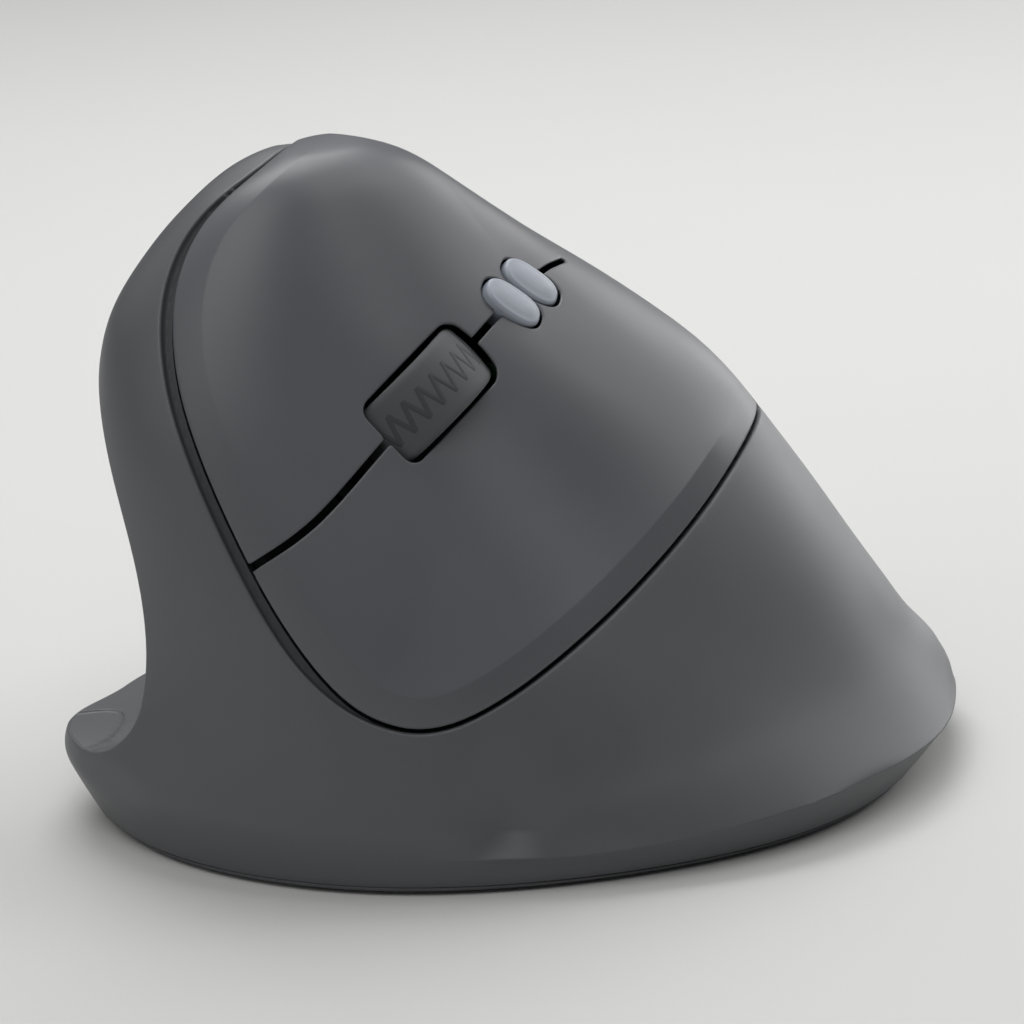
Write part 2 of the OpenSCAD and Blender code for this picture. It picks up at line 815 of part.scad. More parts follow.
module wheel_tyre() {
    corner = 1.4;
    half = wheel_width / 2;
    rim = wheel_d / 2 - corner;
    color("#3c3d3f")
    on_axle()
    rotate_extrude($fn = 96)
    polygon(concat(
        [[hub_d / 2, -half], [rim, -half]],
        [for (a = [-75:15:0]) [rim + corner * cos(a), corner - half + corner * sin(a)]],
        [for (a = [0:15:75]) [rim + corner * cos(a), half - corner + corner * sin(a)]],
        [[rim, half], [hub_d / 2, half]]
    ));
}

module wheel_hub() {
    color("#28292b")
    on_axle()
    difference() {
        cylinder(d = hub_d, h = wheel_width - 0.4, center = true, $fn = 64);
        cylinder(d = axle_d + 2 * axle_clearance, h = 2 * wheel_width, center = true, $fn = 48);
    }
}

module wheel_axle() {
    color("silver") on_axle() cylinder(d = axle_d, h = 2 * (cheek_out + axle_end), center = true, $fn = 48);
}

module wheel_carriage() {
    color("#2a2b2d")
    on_panel()
    difference() {
        union() {
            for (side = [-1, 1]) {
                translate([side * (cheek_in + cheek / 2) - cheek / 2, -carriage_rear, -carriage_low])
                cube([cheek, carriage_rear + carriage_front, carriage_low - carriage_top]);
                translate([side * (cheek_in + cheek / 2) - cheek / 2, -tongue / 2, -tongue_low])
                cube([cheek, tongue, tongue_low - carriage_top]);
            }
            translate([-cheek_out, carriage_front - crossbar, -carriage_top - crossbar_height])
            cube([2 * cheek_out, crossbar, crossbar_height]);
        }
        translate([0, 0, -wheel_depth])
        rotate([0, 90, 0])
        cylinder(d = axle_d + 2 * axle_play, h = 4 * cheek_out, center = true, $fn = 48);
    }
}

module wheel_switch() {
    block = [4.5, 4];
    tall = upper_board_top - carriage_top - crossbar_height - wheel_click - over_travel;
    color("#1c1c1e")
    on_panel()
    translate([0, carriage_front - crossbar / 2, -upper_board_top]) {
        translate([-block.x / 2, -block.y / 4, 0]) cube([block.x, block.y, tall - small_button.y]);
        translate([0, 0, tall - small_button.y]) cylinder(d = small_button.x, h = small_button.y, $fn = 32);
    }
}

module wheel_encoder() {
    color("#1c1c1e")
    on_panel()
    translate([cheek_out + encoder_gap, -encoder_rear, -upper_board_top])
    cube(encoder);
}

// DPI buttons

module dpi_button(side) {
    on_dpi()
    translate([0, side * dpi_pitch / 2, 0]) {
        translate([0, 0, -dpi_skirt])
        linear_extrude(dpi_skirt + dpi_proud)
        pill(dpi_length, dpi_width);
        translate([-dpi_length / 2 - dpi_flange.x, -dpi_width / 2, -dpi_skirt - dpi_flange.y])
        cube([dpi_length + 2 * dpi_flange.x, dpi_width, dpi_flange.y]);
    }
}

module dpi_front() {
    color("#99a0aa") dpi_button(1);
}

module dpi_rear() {
    color("#99a0aa") dpi_button(-1);
}

module dpi_board() {
    color("darkgreen")
    on_dpi()
    translate([-dpi_board_size.x / 2, dpi_board_front, -dpi_board_depth])
    translate([0, -dpi_board_size.y, -dpi_board_size.z])
    cube(dpi_board_size);
}

module dpi_switches() {
    block = [6, 2.6, small_switch_height - small_button.y];
    color("#1c1c1e")
    on_dpi()
    for (side = [-1, 1])
        translate([0, side * dpi_pitch / 2, -dpi_board_depth]) {
            translate([-block.x / 2, -block.y / 2, 0]) cube(block);
            translate([0, 0, block.z])
            cylinder(d = small_button.x, h = small_button.y, $fn = 32);
        }
}

// Thumb buttons

module thumb_button(bearing) {
    on_thumb(bearing) {
        thumb_pill(0, -thumb_proud, wall + thumb_inside);
        thumb_pill(thumb_flange.x, wall + thumb_inside - eps, wall + thumb_inside + thumb_flange.y);
    }
}

module forward_button() {
    color("#3a3b3d") thumb_button(thumb_bearings[0]);
}

module back_button() {
    color("#3a3b3d") thumb_button(thumb_bearings[1]);
}

module thumb_board() {
    color("darkgreen")
    thumb_middle()
    translate([thumb_board_x, -thumb_board_size.y / 2, -thumb_board_size.z / 2])
    cube(thumb_board_size);
}

module thumb_switches() {
    color("#1c1c1e")
    thumb_middle()
    for (side = [-1, 1])
        translate([thumb_board_x - thumb_switch.x / 2, side * thumb_apart / 2, 0])
        cube([thumb_switch.x, thumb_switch.y, thumb_switch.y], center = true);
}

// Boards in the base

module main_board() {
    color("darkgreen")
    translate([main_board_at.x - main_board_size.x / 2, main_board_at.y - main_board_size.y / 2, board_z])
    cube([main_board_size.x, main_board_size.y, board_thickness]);
}

module controller_chip() {
    chip = [7, 7, 1];
    color("#1c1c1e")
    translate([main_board_at.x - chip.x / 2, 0, board_z + board_thickness])
    cube(chip);
}

module optical_sensor() {
    color("#1c1c1e")
    translate([sensor_at.x - sensor_size.x / 2, sensor_at.y - sensor_size.y / 2, board_z - sensor_size.z])
    cube(sensor_size);
}

module sensor_lens() {
    edge = 0.1;
    color("lightcyan", 0.6) {
        translate([sensor_at.x - lens_size.x / 2, sensor_at.y - lens_size.y / 2, floor_z])
        cube([lens_size.x, lens_size.y, board_stand - sensor_size.z]);
        translate([sensor_at.x - window / 2 + edge, sensor_at.y - window / 2 + edge, base_z + lens_sunk])
        cube([window - 2 * edge, window - 2 * edge, floor_z - base_z - lens_sunk]);
    }
}

module power_switch() {
    block = [7, 9, board_stand - slider_lift - slider_cap.y - slide_clearance];
    color("silver")
    translate([slider_at.x - block.x / 2, slider_at.y + slider_travel / 2 - block.y / 2, board_z - block.z])
    cube(block);
}

module power_slider() {
    color("#1c1c1e")
    translate([slider_at.x - slider_knob.x / 2, slider_at.y - slider_knob.y / 2, 0]) {
        translate([0, 0, base_z + slider_sunk]) cube([slider_knob.x, slider_knob.y, floor_z - base_z]);
        translate([-slider_cap.x, -slider_cap.x, floor_z + slider_lift])
        cube([slider_knob.x + 2 * slider_cap.x, slider_knob.y + 2 * slider_cap.x, slider_cap.y]);
    }
}

module receiver() {
    plug = [12, 4.5, 12];
    color("#1c1c1e")
    translate([receiver_at.x, receiver_at.y, base_z + slide_clearance]) {
        translate([-receiver_size.x / 2, -receiver_size.y / 2, 0])
        cube([receiver_size.x, receiver_size.y, receiver_size.z - plug.z]);
        translate([-plug.x / 2, -plug.y / 2, receiver_size.z - plug.z - eps]) cube(plug);
    }
}

// One ring of a ribbon, square to its route, with its width turning from one direction to the other
function unit(v) = v / norm(v);
function ribbon_ring(route, i, width, thickness) =
    let (last = len(route) - 1, along = unit(route[min(i + 1, last)] - route[max(i - 1, 0)]))
    let (aim = cable_foot_wide + (cable_head_wide - cable_foot_wide) * i / last)
    let (wide = unit(aim - (aim * along) * along) * width / 2)
    let (thick = unit(cross(along, wide)) * thickness / 2)
    [for (c = [[1, 1], [-1, 1], [-1, -1], [1, -1]]) route[i] + c.x * wide + c.y * thick];

module ribbon(route, width, thickness) {
    last = len(route) - 1;
    points = [for (i = [0:last]) each ribbon_ring(route, i, width, thickness)];
    sleeve = [for (i = [0:last - 1], k = [0:3])
        let (a = 4 * i + k, b = 4 * i + (k + 1) % 4)
        each [[a, b + 4, b], [a, a + 4, b + 4]]];
    end = 4 * last;
    ends = [[0, 1, 2], [0, 2, 3], [end + 2, end + 1, end], [end + 3, end + 2, end]];
    polyhedron(points, concat(sleeve, ends));
}

module cable_sockets() {
    color("white") {
        translate(cable_foot) cube(socket, center = true);
        on_panel()
        translate([cable_head_at.x, cable_head_at.y, -upper_board_low - socket.z / 2])
        cube(socket, center = true);
    }
}

module flat_cable() {
    color("ivory") ribbon(concat([cable_foot], cable_route, [cable_head]), cable_width, cable_thickness);
}

// Power

module battery() {
    color("#b08d3c")
    translate([cell_at.x, cell_at.y, cell_z])
    rotate([-90, 0, 0]) {
        cylinder(d = cell_d, h = cell_length, $fn = 64);
        cylinder(d = cell_nub.x, h = cell_length + cell_nub.y, $fn = 48);
    }
}

module battery_spring() {
    color("silver")
    translate([cell_at.x, cell_at.y - spring_length, cell_z])
    rotate([-90, 0, 0]) {
        cylinder(d = spring_d, h = contact, $fn = 48);
        cylinder(d = cell_nub.x, h = spring_length - door_gap, $fn = 48);
    }
}

module battery_plate() {
    color("silver")
    translate([cell_at.x - plate_width / 2, bay_front - contact, cell_z - plate_width / 2])
    cube([plate_width, contact, plate_width]);
}

module battery_door() {
    color("#343536")
    intersection() {
        translate([cell_at.x, -far, base_z]) {
            translate([-door_width / 2, 0, 0])
            cube([door_width, far + bay_front - bay_lip - bay_gap, base_edge - door_gap]);
            translate([-door_width / 2 - door_tongue.x, 0, base_edge - door_gap - door_tongue.y])
            cube([door_width + 2 * door_tongue.x, far + bay_front - bay_lip - bay_gap, door_tongue.y]);
        }
        linear_extrude(far) polygon(base_outline(0));
    }
}

main_shell();
base_plate();
index_key();
middle_key();
ridge_cover();
key_frame();
wheel_tyre();
wheel_hub();
wheel_axle();
wheel_carriage();
wheel_switch();
wheel_encoder();
upper_board();
board_screws();
index_switch();
middle_switch();
index_plunger();
middle_plunger();
dpi_front();
dpi_rear();
dpi_board();
dpi_switches();
forward_button();
back_button();
thumb_board();
thumb_switches();
main_board();
controller_chip();
optical_sensor();
sensor_lens();
cable_sockets();
flat_cable();
battery();
battery_spring();
battery_plate();
battery_door();
power_switch();
power_slider();
receiver();
glide_feet();
base_screws();
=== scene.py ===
"""Looks of the left-hand vertical mouse: smooth skins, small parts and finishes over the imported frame."""
import json
import logging
import math
from collections.abc import Callable
from dataclasses import dataclass
from enum import Enum

import bpy
import numpy as np
from mathutils import Matrix, Vector
from mathutils.geometry import tessellate_polygon


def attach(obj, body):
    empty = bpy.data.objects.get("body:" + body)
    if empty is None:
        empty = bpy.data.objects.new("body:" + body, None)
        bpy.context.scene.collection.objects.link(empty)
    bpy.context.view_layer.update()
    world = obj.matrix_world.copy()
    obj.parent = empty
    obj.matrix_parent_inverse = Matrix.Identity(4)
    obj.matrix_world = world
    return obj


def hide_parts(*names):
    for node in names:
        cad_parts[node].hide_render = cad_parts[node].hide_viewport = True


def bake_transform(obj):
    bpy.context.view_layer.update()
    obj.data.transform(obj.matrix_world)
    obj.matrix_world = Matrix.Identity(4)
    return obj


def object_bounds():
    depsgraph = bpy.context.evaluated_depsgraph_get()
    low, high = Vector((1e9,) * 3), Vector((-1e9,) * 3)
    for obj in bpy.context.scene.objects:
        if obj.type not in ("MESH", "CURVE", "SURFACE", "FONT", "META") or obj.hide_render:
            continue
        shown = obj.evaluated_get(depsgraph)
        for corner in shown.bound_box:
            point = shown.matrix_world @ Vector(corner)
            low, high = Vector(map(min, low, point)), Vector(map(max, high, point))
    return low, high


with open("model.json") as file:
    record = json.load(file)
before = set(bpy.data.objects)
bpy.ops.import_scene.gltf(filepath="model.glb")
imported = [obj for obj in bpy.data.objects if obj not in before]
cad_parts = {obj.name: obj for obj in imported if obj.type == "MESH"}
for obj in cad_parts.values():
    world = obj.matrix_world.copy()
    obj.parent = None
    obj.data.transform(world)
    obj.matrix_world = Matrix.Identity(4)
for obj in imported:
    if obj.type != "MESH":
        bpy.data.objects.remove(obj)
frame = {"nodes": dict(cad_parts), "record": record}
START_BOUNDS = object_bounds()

MM = 0.001
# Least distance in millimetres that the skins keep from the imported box
BOX_GAP = 0.02
log = logging.getLogger("mouse")
Field = Callable[[np.ndarray], np.ndarray]


class Side(Enum):
    """The two keys of the panel, by the side of the slit they lie on."""

    INDEX = 1
    MIDDLE = -1


def ramp(x: np.ndarray, low: float, high: float) -> np.ndarray:
    """Smooth step from 0 at low to 1 at high."""
    u = np.clip((np.asarray(x, float) - low) / (high - low), 0.0, 1.0)
    return u * u * (3 - 2 * u)


def unit(v: np.ndarray) -> np.ndarray:
    """Rows of v at length one."""
    return v / np.maximum(np.linalg.norm(v, axis=-1, keepdims=True), 1e-12)


def rotation(axis: str, degrees: float) -> np.ndarray:
    """Turn about one axis."""
    return np.array(Matrix.Rotation(math.radians(degrees), 3, axis))


# Finishes

def linear(code: str) -> tuple[float, float, float, float]:
    """Linear colour from an sRGB hex code.

    Args:
        code: Six hex digits after a hash.
    Returns:
        Red, green, blue and full opacity.
    """
    parts = [int(code[i:i + 2], 16) / 255 for i in (1, 3, 5)]
    r, g, b = (c / 12.92 if c <= 0.04045 else ((c + 0.055) / 1.055) ** 2.4 for c in parts)
    return (r, g, b, 1.0)


def add_node(tree: bpy.types.NodeTree, kind: str, values: dict | None = None, links: dict | None = None,
             **settings: object) -> bpy.types.Node:
    """Add a node with its settings, socket values and links.

    Args:
        tree: Node tree that takes the node.
        kind: Blender's type name of the node.
        values: Socket names or numbers and the values set on them.
        links: Socket names or numbers and the sockets linked to them.
        settings: Attributes set on the node itself.
    Returns:
        The new node.
    """
    made = tree.nodes.new(kind)
    for key, value in settings.items():
        setattr(made, key, value)
    for key, value in (values or {}).items():
        made.inputs[key].default_value = value
    for key, source in (links or {}).items():
        tree.links.new(source, made.inputs[key])
    return made


@dataclass(frozen=True)
class Finish:
    """A surface finish made of nodes, in the object's own coordinates."""

    name: str
    colour: str
    roughness: float
    grain_mm: float = 0.3
    grain_depth_mm: float = 0.004
    mottle: float = 0.06
    mottle_mm: float = 9.0
    smudge: float = 0.05
    metallic: float = 0.0
    ior: float = 1.5
    specular: float = 0.5
    transmission: float = 0.0
    sheen: float = 0.0
    subsurface: float = 0.0
    stretch: tuple[float, float, float] = (1.0, 1.0, 1.0)

    def material(self) -> bpy.types.Material:
        """Build the node material once and hand it out again after that.

        Returns:
            The material of this finish.
        """
        old = bpy.data.materials.get(self.name)
        if old:
            return old
        mat = bpy.data.materials.new(self.name)
        mat.use_nodes = True
        tree = mat.node_tree
        tree.nodes.clear()
        here = add_node(tree, "ShaderNodeTexCoord").outputs["Object"]
        spread = add_node(tree, "ShaderNodeMapping", {"Scale": self.stretch}, {"Vector": here}).outputs[0]
        # Broad, faint changes of tone, as a moulding or a rolled surface shows at arm's length
        broad = add_node(tree, "ShaderNodeTexNoise", {"Scale": 1 / (self.mottle_mm * MM), "Detail": 3.0},
                         {"Vector": spread}).outputs[0]
        fine = add_node(tree, "ShaderNodeTexNoise", {"Scale": 1 / (self.grain_mm * MM), "Detail": 2.0},
                        {"Vector": spread}).outputs[0]
        base = linear(self.colour)
        low, high = (tuple(min(1.0, c * (1 + k)) for c in base[:3]) + (1.0,)
                     for k in (-self.mottle, self.mottle))
        tone = add_node(tree, "ShaderNodeMix", {6: low, 7: high}, {0: broad}, data_type="RGBA")
        # Handled places gleam a little more than the rest, so the roughness wanders with the same noise
        gleam = add_node(tree, "ShaderNodeMapRange",
                         {3: self.roughness - self.smudge, 4: self.roughness + self.smudge}, {0: broad})
        bump = add_node(tree, "ShaderNodeBump", {"Strength": 1.0, "Distance": self.grain_depth_mm * MM},
                        {"Height": fine})
        shader = add_node(tree, "ShaderNodeBsdfPrincipled",
                          {"Metallic": self.metallic, "IOR": self.ior, "Specular IOR Level": self.specular,
                           "Transmission Weight": self.transmission, "Sheen Weight": self.sheen,
                           "Subsurface Weight": self.subsurface, "Subsurface Scale": 0.001},
                          {"Base Color": tone.outputs[2], "Roughness": gleam.outputs[0],
                           "Normal": bump.outputs[0]})
        add_node(tree, "ShaderNodeOutputMaterial", links={"Surface": shader.outputs[0]})
        mat.diffuse_color = base
        return mat


# Satin moulded shell: soft broad highlights with a fine spark texture
SHELL = Finish("abs_satin_moulded", "#545558", 0.46, grain_mm=0.35, grain_depth_mm=0.006)
# The key panel is a touch smoother, so its dish shows as a slow gradient
PANEL = Finish("abs_soft_satin_paint", "#55565a", 0.42, grain_mm=0.3, grain_depth_mm=0.004, mottle=0.04)
# Ledge in the groove, coloured darker than the skins on both sides as painted shade in the recess
LEDGE_SHADE = Finish("abs_raw_ledge", "#36373a", 0.6, grain_mm=0.4, grain_depth_mm=0.008)
# Spark-eroded base: matt and even
BASE = Finish("abs_spark_matt", "#4b4c4f", 0.6, grain_mm=0.4, grain_depth_mm=0.012)
# Moulded rubber: no gleam, a soft edge of light
RUBBER = Finish("tpe_moulded_rubber", "#4a4b4e", 0.72, grain_mm=0.35, grain_depth_mm=0.01, sheen=0.15,
                specular=0.35)
# Pale lavender-grey caps with a silky top
PALE = Finish("abs_pale_silk", "#9096a0", 0.4, grain_mm=0.3, grain_depth_mm=0.002, mottle=0.03, subsurface=0.05)
# The grip on the tyre is worn smoother; its colour, darker than the tyre's, is painted shade that makes the
# ribs read as soft dark strokes
GRIP_SHADE = Finish("tpe_dark_grip", "#3a3b3d", 0.68, grain_mm=0.35, grain_depth_mm=0.006, sheen=0.1, specular=0.35)
# Thumb buttons, darker and smoother than the wall round them
BUTTON = Finish("abs_dark_silk", "#3c3d40", 0.36, grain_mm=0.3, grain_depth_mm=0.003)
# Dark inner mouldings that swallow the light in the gaps
INNER = Finish("abs_black_inner", "#1d1e20", 0.7, grain_mm=0.5, grain_depth_mm=0.01)
# Hard black switch bodies with a faint gleam on their flats
SWITCH = Finish("pbt_black_block", "#18191b", 0.5, grain_mm=0.4, grain_depth_mm=0.006)
# Undyed nylon, slightly see-through at thin edges
NATURAL = Finish("nylon_natural", "#dcd9d0", 0.45, mottle=0.03, subsurface=0.2)
# Solder mask over copper: green with a wet gleam
BOARD = Finish("fr4_green_mask", "#12502a", 0.28, grain_mm=0.8, grain_depth_mm=0.01, mottle=0.15, mottle_mm=4)
# Zinc plating drawn out in fine lines
STEEL = Finish("steel_zinc_plate", "#a9adb2", 0.3, grain_mm=0.25, grain_depth_mm=0.003, mottle=0.1, mottle_mm=2,
               metallic=1.0, stretch=(1.0, 6.0, 1.0))
# Axle darkened to near black as painted shade, so that it vanishes in the wheel's slot
AXLE_SHADE = Finish("steel_black_oxide", "#17181a", 0.5, grain_mm=0.25, grain_depth_mm=0.003, mottle=0.1,
                 mottle_mm=2)
# Clear moulded lens under the sensor
LENS = Finish("pmma_clear_lens", "#dfe9ea", 0.06, grain_mm=0.6, grain_depth_mm=0.001, mottle=0.02, smudge=0.03,
              ior=1.49, transmission=0.9)
# Printed sleeve of the cell
CELL = Finish("pvc_copper_sleeve", "#a4703a", 0.33, grain_mm=0.5, grain_depth_mm=0.003, mottle=0.08)
# Low friction sheet of the feet, waxy and dark
FEET = Finish("ptfe_dark_sheet", "#2b2c2e", 0.4, grain_mm=0.4, grain_depth_mm=0.004, specular=0.3)
# Pale sweep under the mouse
FLOOR = Finish("paper_pale_sweep", "#c8c8c6", 0.85, grain_mm=1.0, grain_depth_mm=0.01, mottle=0.01,
               mottle_mm=80)

BY_SLOT = {"shell": SHELL, "panel": PANEL, "base": BASE, "inner": INNER, "tyre": RUBBER, "pale": PALE,
           "button": BUTTON, "switch": SWITCH, "natural": NATURAL, "board": BOARD, "steel": STEEL,
           "lens": LENS, "cell": CELL, "feet": FEET}


# Meshes

def new_object(name: str, points: np.ndarray, faces: list | np.ndarray, finishes: list[Finish],
               marks: np.ndarray | None = None, normals: np.ndarray | None = None,
               smooth_angle: float | None = None) -> bpy.types.Object:
    """Make a mesh object from millimetre points.

    Args:
        name: Name of the piece.
        points: Corner points in millimetres.
        faces: Corner numbers of each face, turning outwards.
        finishes: Finishes of the material slots.
        marks: Material slot of each face, or none for the first.
        normals: One normal for each corner of each face, or none.
        smooth_angle: Angle in degrees above which an edge stays sharp, or none.
    Returns:
        The linked object.
    """
    mesh = bpy.data.meshes.new(name)
    mesh.from_pydata((np.asarray(points) * MM).tolist(), [], [list(map(int, f)) for f in faces])
    for finish in finishes:
        mesh.materials.append(finish.material())
    if marks is not None:
        mesh.polygons.foreach_set("material_index", np.asarray(marks, np.int32))
    mesh.update()
    mesh.shade_smooth()
    if smooth_angle is not None:
        mesh.set_sharp_from_angle(angle=math.radians(smooth_angle))
    if normals is not None:
        mesh.normals_split_custom_set(np.asarray(normals, float).tolist())
    made = bpy.data.objects.new(name, mesh)
    bpy.context.scene.collection.objects.link(made)
    return made


def arrays(mesh: bpy.types.Mesh) -> tuple[np.ndarray, np.ndarray]:
    """Points in millimetres and triangles of a mesh.

    Args:
        mesh: Mesh to read.
    Returns:
        Points and triangles.
    """
    mesh.calc_loop_triangles()
    p = np.zeros(len(mesh.vertices) * 3)
    t = np.zeros(len(mesh.loop_triangles) * 3, np.int32)
    mesh.vertices.foreach_get("co", p)
    mesh.loop_triangles.foreach_get("vertices", t)
    return p.reshape(-1, 3) / MM, t.reshape(-1, 3)


def combine(name: str, body: bpy.types.Object, tools: list[bpy.types.Object], operation: str) -> None:
    """Cut tools out of a body, or join them to it, and remove the tools.

    Args:
        name: Name given to the finished mesh.
        body: Object that keeps the result.
        tools: Closed objects to cut or join.
        operation: DIFFERENCE or UNION.
    """
    for tool in tools:
        step = body.modifiers.new("cut", "BOOLEAN")
        step.operation = operation
        step.solver = "MANIFOLD"
        step.object = tool
    graph = bpy.context.evaluated_depsgraph_get()
    mesh = bpy.data.meshes.new_from_object(body.evaluated_get(graph))
    body.modifiers.clear()
    body.data = mesh
    mesh.name = name
    for tool in tools:
        bpy.data.objects.remove(tool)


def settle(made: bpy.types.Object, body: str, slot: str, *nodes: str) -> None:
    """Tie a finished piece to its body and report it.

    Args:
        made: The piece.
        body: Body that it rides on.
        slot: Material slot that it belongs to; not used.
        nodes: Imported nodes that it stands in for.
    """
    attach(made, body)
    if nodes:
        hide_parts(*nodes)
    log.info("%s: %d faces", made.name, len(made.data.polygons))


def ring_faces(rings: int, n: int) -> list[list[int]]:
    """Quads between rings that each have n points."""
    return [[i * n + k, i * n + (k + 1) % n, (i + 1) * n + (k + 1) % n, (i + 1) * n + k]
            for i in range(rings - 1) for k in range(n)]


def stack_faces(rings: int, n: int) -> list[list[int]]:
    """Faces of a closed stack of rings: its foot, its sides and its top."""
    return [list(range(n))[::-1]] + ring_faces(rings, n) + [list(range((rings - 1) * n, rings * n))]


def prism(outline: np.ndarray, steps: list[tuple[float, float]]) -> tuple[np.ndarray, list]:
    """Closed stack of one outline, drawn in at each step.

    Args:
        outline: Plan points in millimetres, against the clock.
        steps: Height and inset of each layer, from below.
    Returns:
        Points and faces.
    """
    n = len(outline)
    ahead = unit(np.roll(outline, -1, 0) - np.roll(outline, 1, 0))
    inward = np.stack([-ahead[:, 1], ahead[:, 0]], 1)
    points = np.concatenate([np.column_stack([outline + inset * inward, np.full(n, z)]) for z, inset in steps])
    return points, stack_faces(len(steps), n)


def box_points(low: tuple, high: tuple) -> tuple[np.ndarray, list]:
    """Closed box."""
    plan = np.array([(low[0], low[1]), (high[0], low[1]), (high[0], high[1]), (low[0], high[1])], float)
    return prism(plan, [(low[2], 0.0), (high[2], 0.0)])


def disc_plan(centre: tuple, radius: float, count: int) -> np.ndarray:
    """Round outline."""
    a = np.arange(count) * 2 * math.pi / count
    return np.stack([centre[0] + radius * np.cos(a), centre[1] + radius * np.sin(a)], 1)


def stadium_plan(length: float, width: float, count: int = 24) -> np.ndarray:
    """Outline with two round ends along X.

    Args:
        length: Whole length.
        width: Whole width.
        count: Points on each round end.
    Returns:
        Plan points.
    """
    a = np.linspace(-math.pi / 2, math.pi / 2, count)
    half, r = (length - width) / 2, width / 2
    right = np.stack([half + r * np.cos(a), r * np.sin(a)], 1)
    return np.concatenate([right, -right])


# The form

class BodyForm:
    """The lines plan of the body as a smooth surface.

    Attributes:
        levels: Height, centre and twelve radii of each level.
        shift: Move from the plan to the part's frame.
    """

    levels = np.array([
        [0, 0, -6, 36, 43, 58, 46.5, 36, 32, 34, 41, 48, 50, 46, 39],
        [3, 0, -6, 38, 45, 60, 47, 36.5, 33.5, 36, 43, 51, 52, 47, 40],
        [6, 0, -6, 40, 46, 62, 47, 37, 34.5, 37.5, 45, 54, 54, 49, 41],
        [7.5, 0, -6, 41, 47, 63, 47, 37, 34, 37, 45, 54.5, 54, 49, 41.5],
        [9.5, 1, -5.5, 41, 47, 62, 46.5, 37, 32.5, 34.5, 42, 52, 53, 48, 41],
        [14, 2, -5, 40, 44, 58, 46, 37, 31, 31.5, 38, 49, 52, 46, 40],
        [22, 5, -4, 36, 39, 52, 45, 37, 30.5, 29, 36, 47, 50, 43, 36],
        [35, 9, 0, 30, 33, 45, 42, 31.5, 26, 25, 33, 43, 48, 39, 31],
        [50, 14, 7, 21, 24, 37, 36, 22.5, 18.5, 18, 27, 39, 43, 30, 22],
        [62, 18, 11, 15, 17, 26, 25, 19, 14, 13, 16.5, 25, 30, 22, 16],
        [72, 20, 13, 9.5, 11, 16, 16, 12.5, 9.5, 9, 11, 16, 19, 14, 10],
        [77, 21, 13, 6, 7, 10, 10, 8, 6, 6, 7, 10, 11, 8, 6],
        [77, 21, 13, 0, 0, 0, 0, 0, 0, 0, 0, 0, 0, 0, 0]], float)
    shift = np.array([-1.8, 6.3, 0.6])
    reach_start, reach_steps = 40.0, 8

    def __init__(self) -> None:
        """Work out a fine table of the levels."""
        self.spans = len(self.levels) - 3
        self.table_t = np.linspace(0, self.spans, 4001)
        self.table = self.rows(self.table_t)

    def rows(self, t: np.ndarray) -> np.ndarray:
        """Level values along the clamped cubic spline.

        Args:
            t: Places along the spline, from 0 to the number of spans.
        Returns:
            One row of height, centre and radii for each place.
        """
        count = len(self.levels)
        knots = np.clip(np.arange(count + 4) - 3, 0, self.spans).astype(float)
        t = np.minimum(np.asarray(t, float), self.spans - 1e-9)[:, None]
        w = ((knots[:-1] <= t) & (t < knots[1:])).astype(float)
        for k in (1, 2, 3):
            near, far = knots[k:-1] - knots[:-1 - k], knots[k + 1:] - knots[1:-k]
            a = np.where(near > 0, (t - knots[:-1 - k]) / np.where(near > 0, near, 1), 0)
            b = np.where(far > 0, (knots[k + 1:] - t) / np.where(far > 0, far, 1), 0)
            w = a * w[:, :-1] + b * w[:, 1:]
        return w @ self.levels

    @staticmethod
    def radius(rows: np.ndarray, bearing: np.ndarray) -> np.ndarray:
        """Radius on a closed cubic spline round each level.

        Args:
            rows: Level values, one row for each bearing.
            bearing: Bearings in radians.
        Returns:
            Radii in millimetres.
        """
        s = np.mod(bearing, 2 * math.pi) * 6 / math.pi
        i = np.floor(s).astype(int)
        f = s - i
        r = np.take_along_axis(rows[:, 3:], (i[:, None] + np.array([-1, 0, 1, 2])) % 12, 1)
        w = np.stack([(1 - f) ** 3, 3 * f ** 3 - 6 * f ** 2 + 4,
                      -3 * f ** 3 + 3 * f ** 2 + 3 * f + 1, f ** 3], 1) / 6
        return (w * r).sum(1)

    def solid(self, spacing: float, sides: int) -> tuple[np.ndarray, np.ndarray]:
        """Closed mesh of the whole form, with even rows.

        Args:
            spacing: Greatest distance between rows in millimetres.
            sides: Points round each row.
        Returns:
            Points and triangles.
        """
        ring = np.arange(24) * math.pi / 12
        place = np.stack([self.plan(self.table, np.full(len(self.table), b)) for b in ring])
        path = np.concatenate([[0], np.cumsum(np.linalg.norm(np.diff(place, axis=1), axis=2).max(0))])
        t = np.interp(np.linspace(0, path[-1], int(path[-1] / spacing) + 1), path, self.table_t)[:-1]
        rows = self.rows(t)
        bearing = np.arange(sides) * 2 * math.pi / sides
        points = [self.plan(np.repeat(rows[i:i + 1], sides, 0), bearing) for i in range(len(t))]
        top = self.levels[-1]
        foot = self.levels[0]
        points.append(np.array([[top[1], top[2], top[0]], [foot[1], foot[2], 0]]) + self.shift)
        k = np.arange(sides)
        faces = []
        for i in range(len(t) - 1):
            a, b = i * sides + k, i * sides + (k + 1) % sides
            faces += [np.stack([a, b, b + sides], 1), np.stack([a, b + sides, a + sides], 1)]
        last, crown = (len(t) - 1) * sides, len(t) * sides
        faces.append(np.stack([last + k, last + (k + 1) % sides, np.full(sides, crown)], 1))
        faces.append(np.stack([(k + 1) % sides, k, np.full(sides, crown + 1)], 1))
        return np.concatenate(points), np.concatenate(faces)

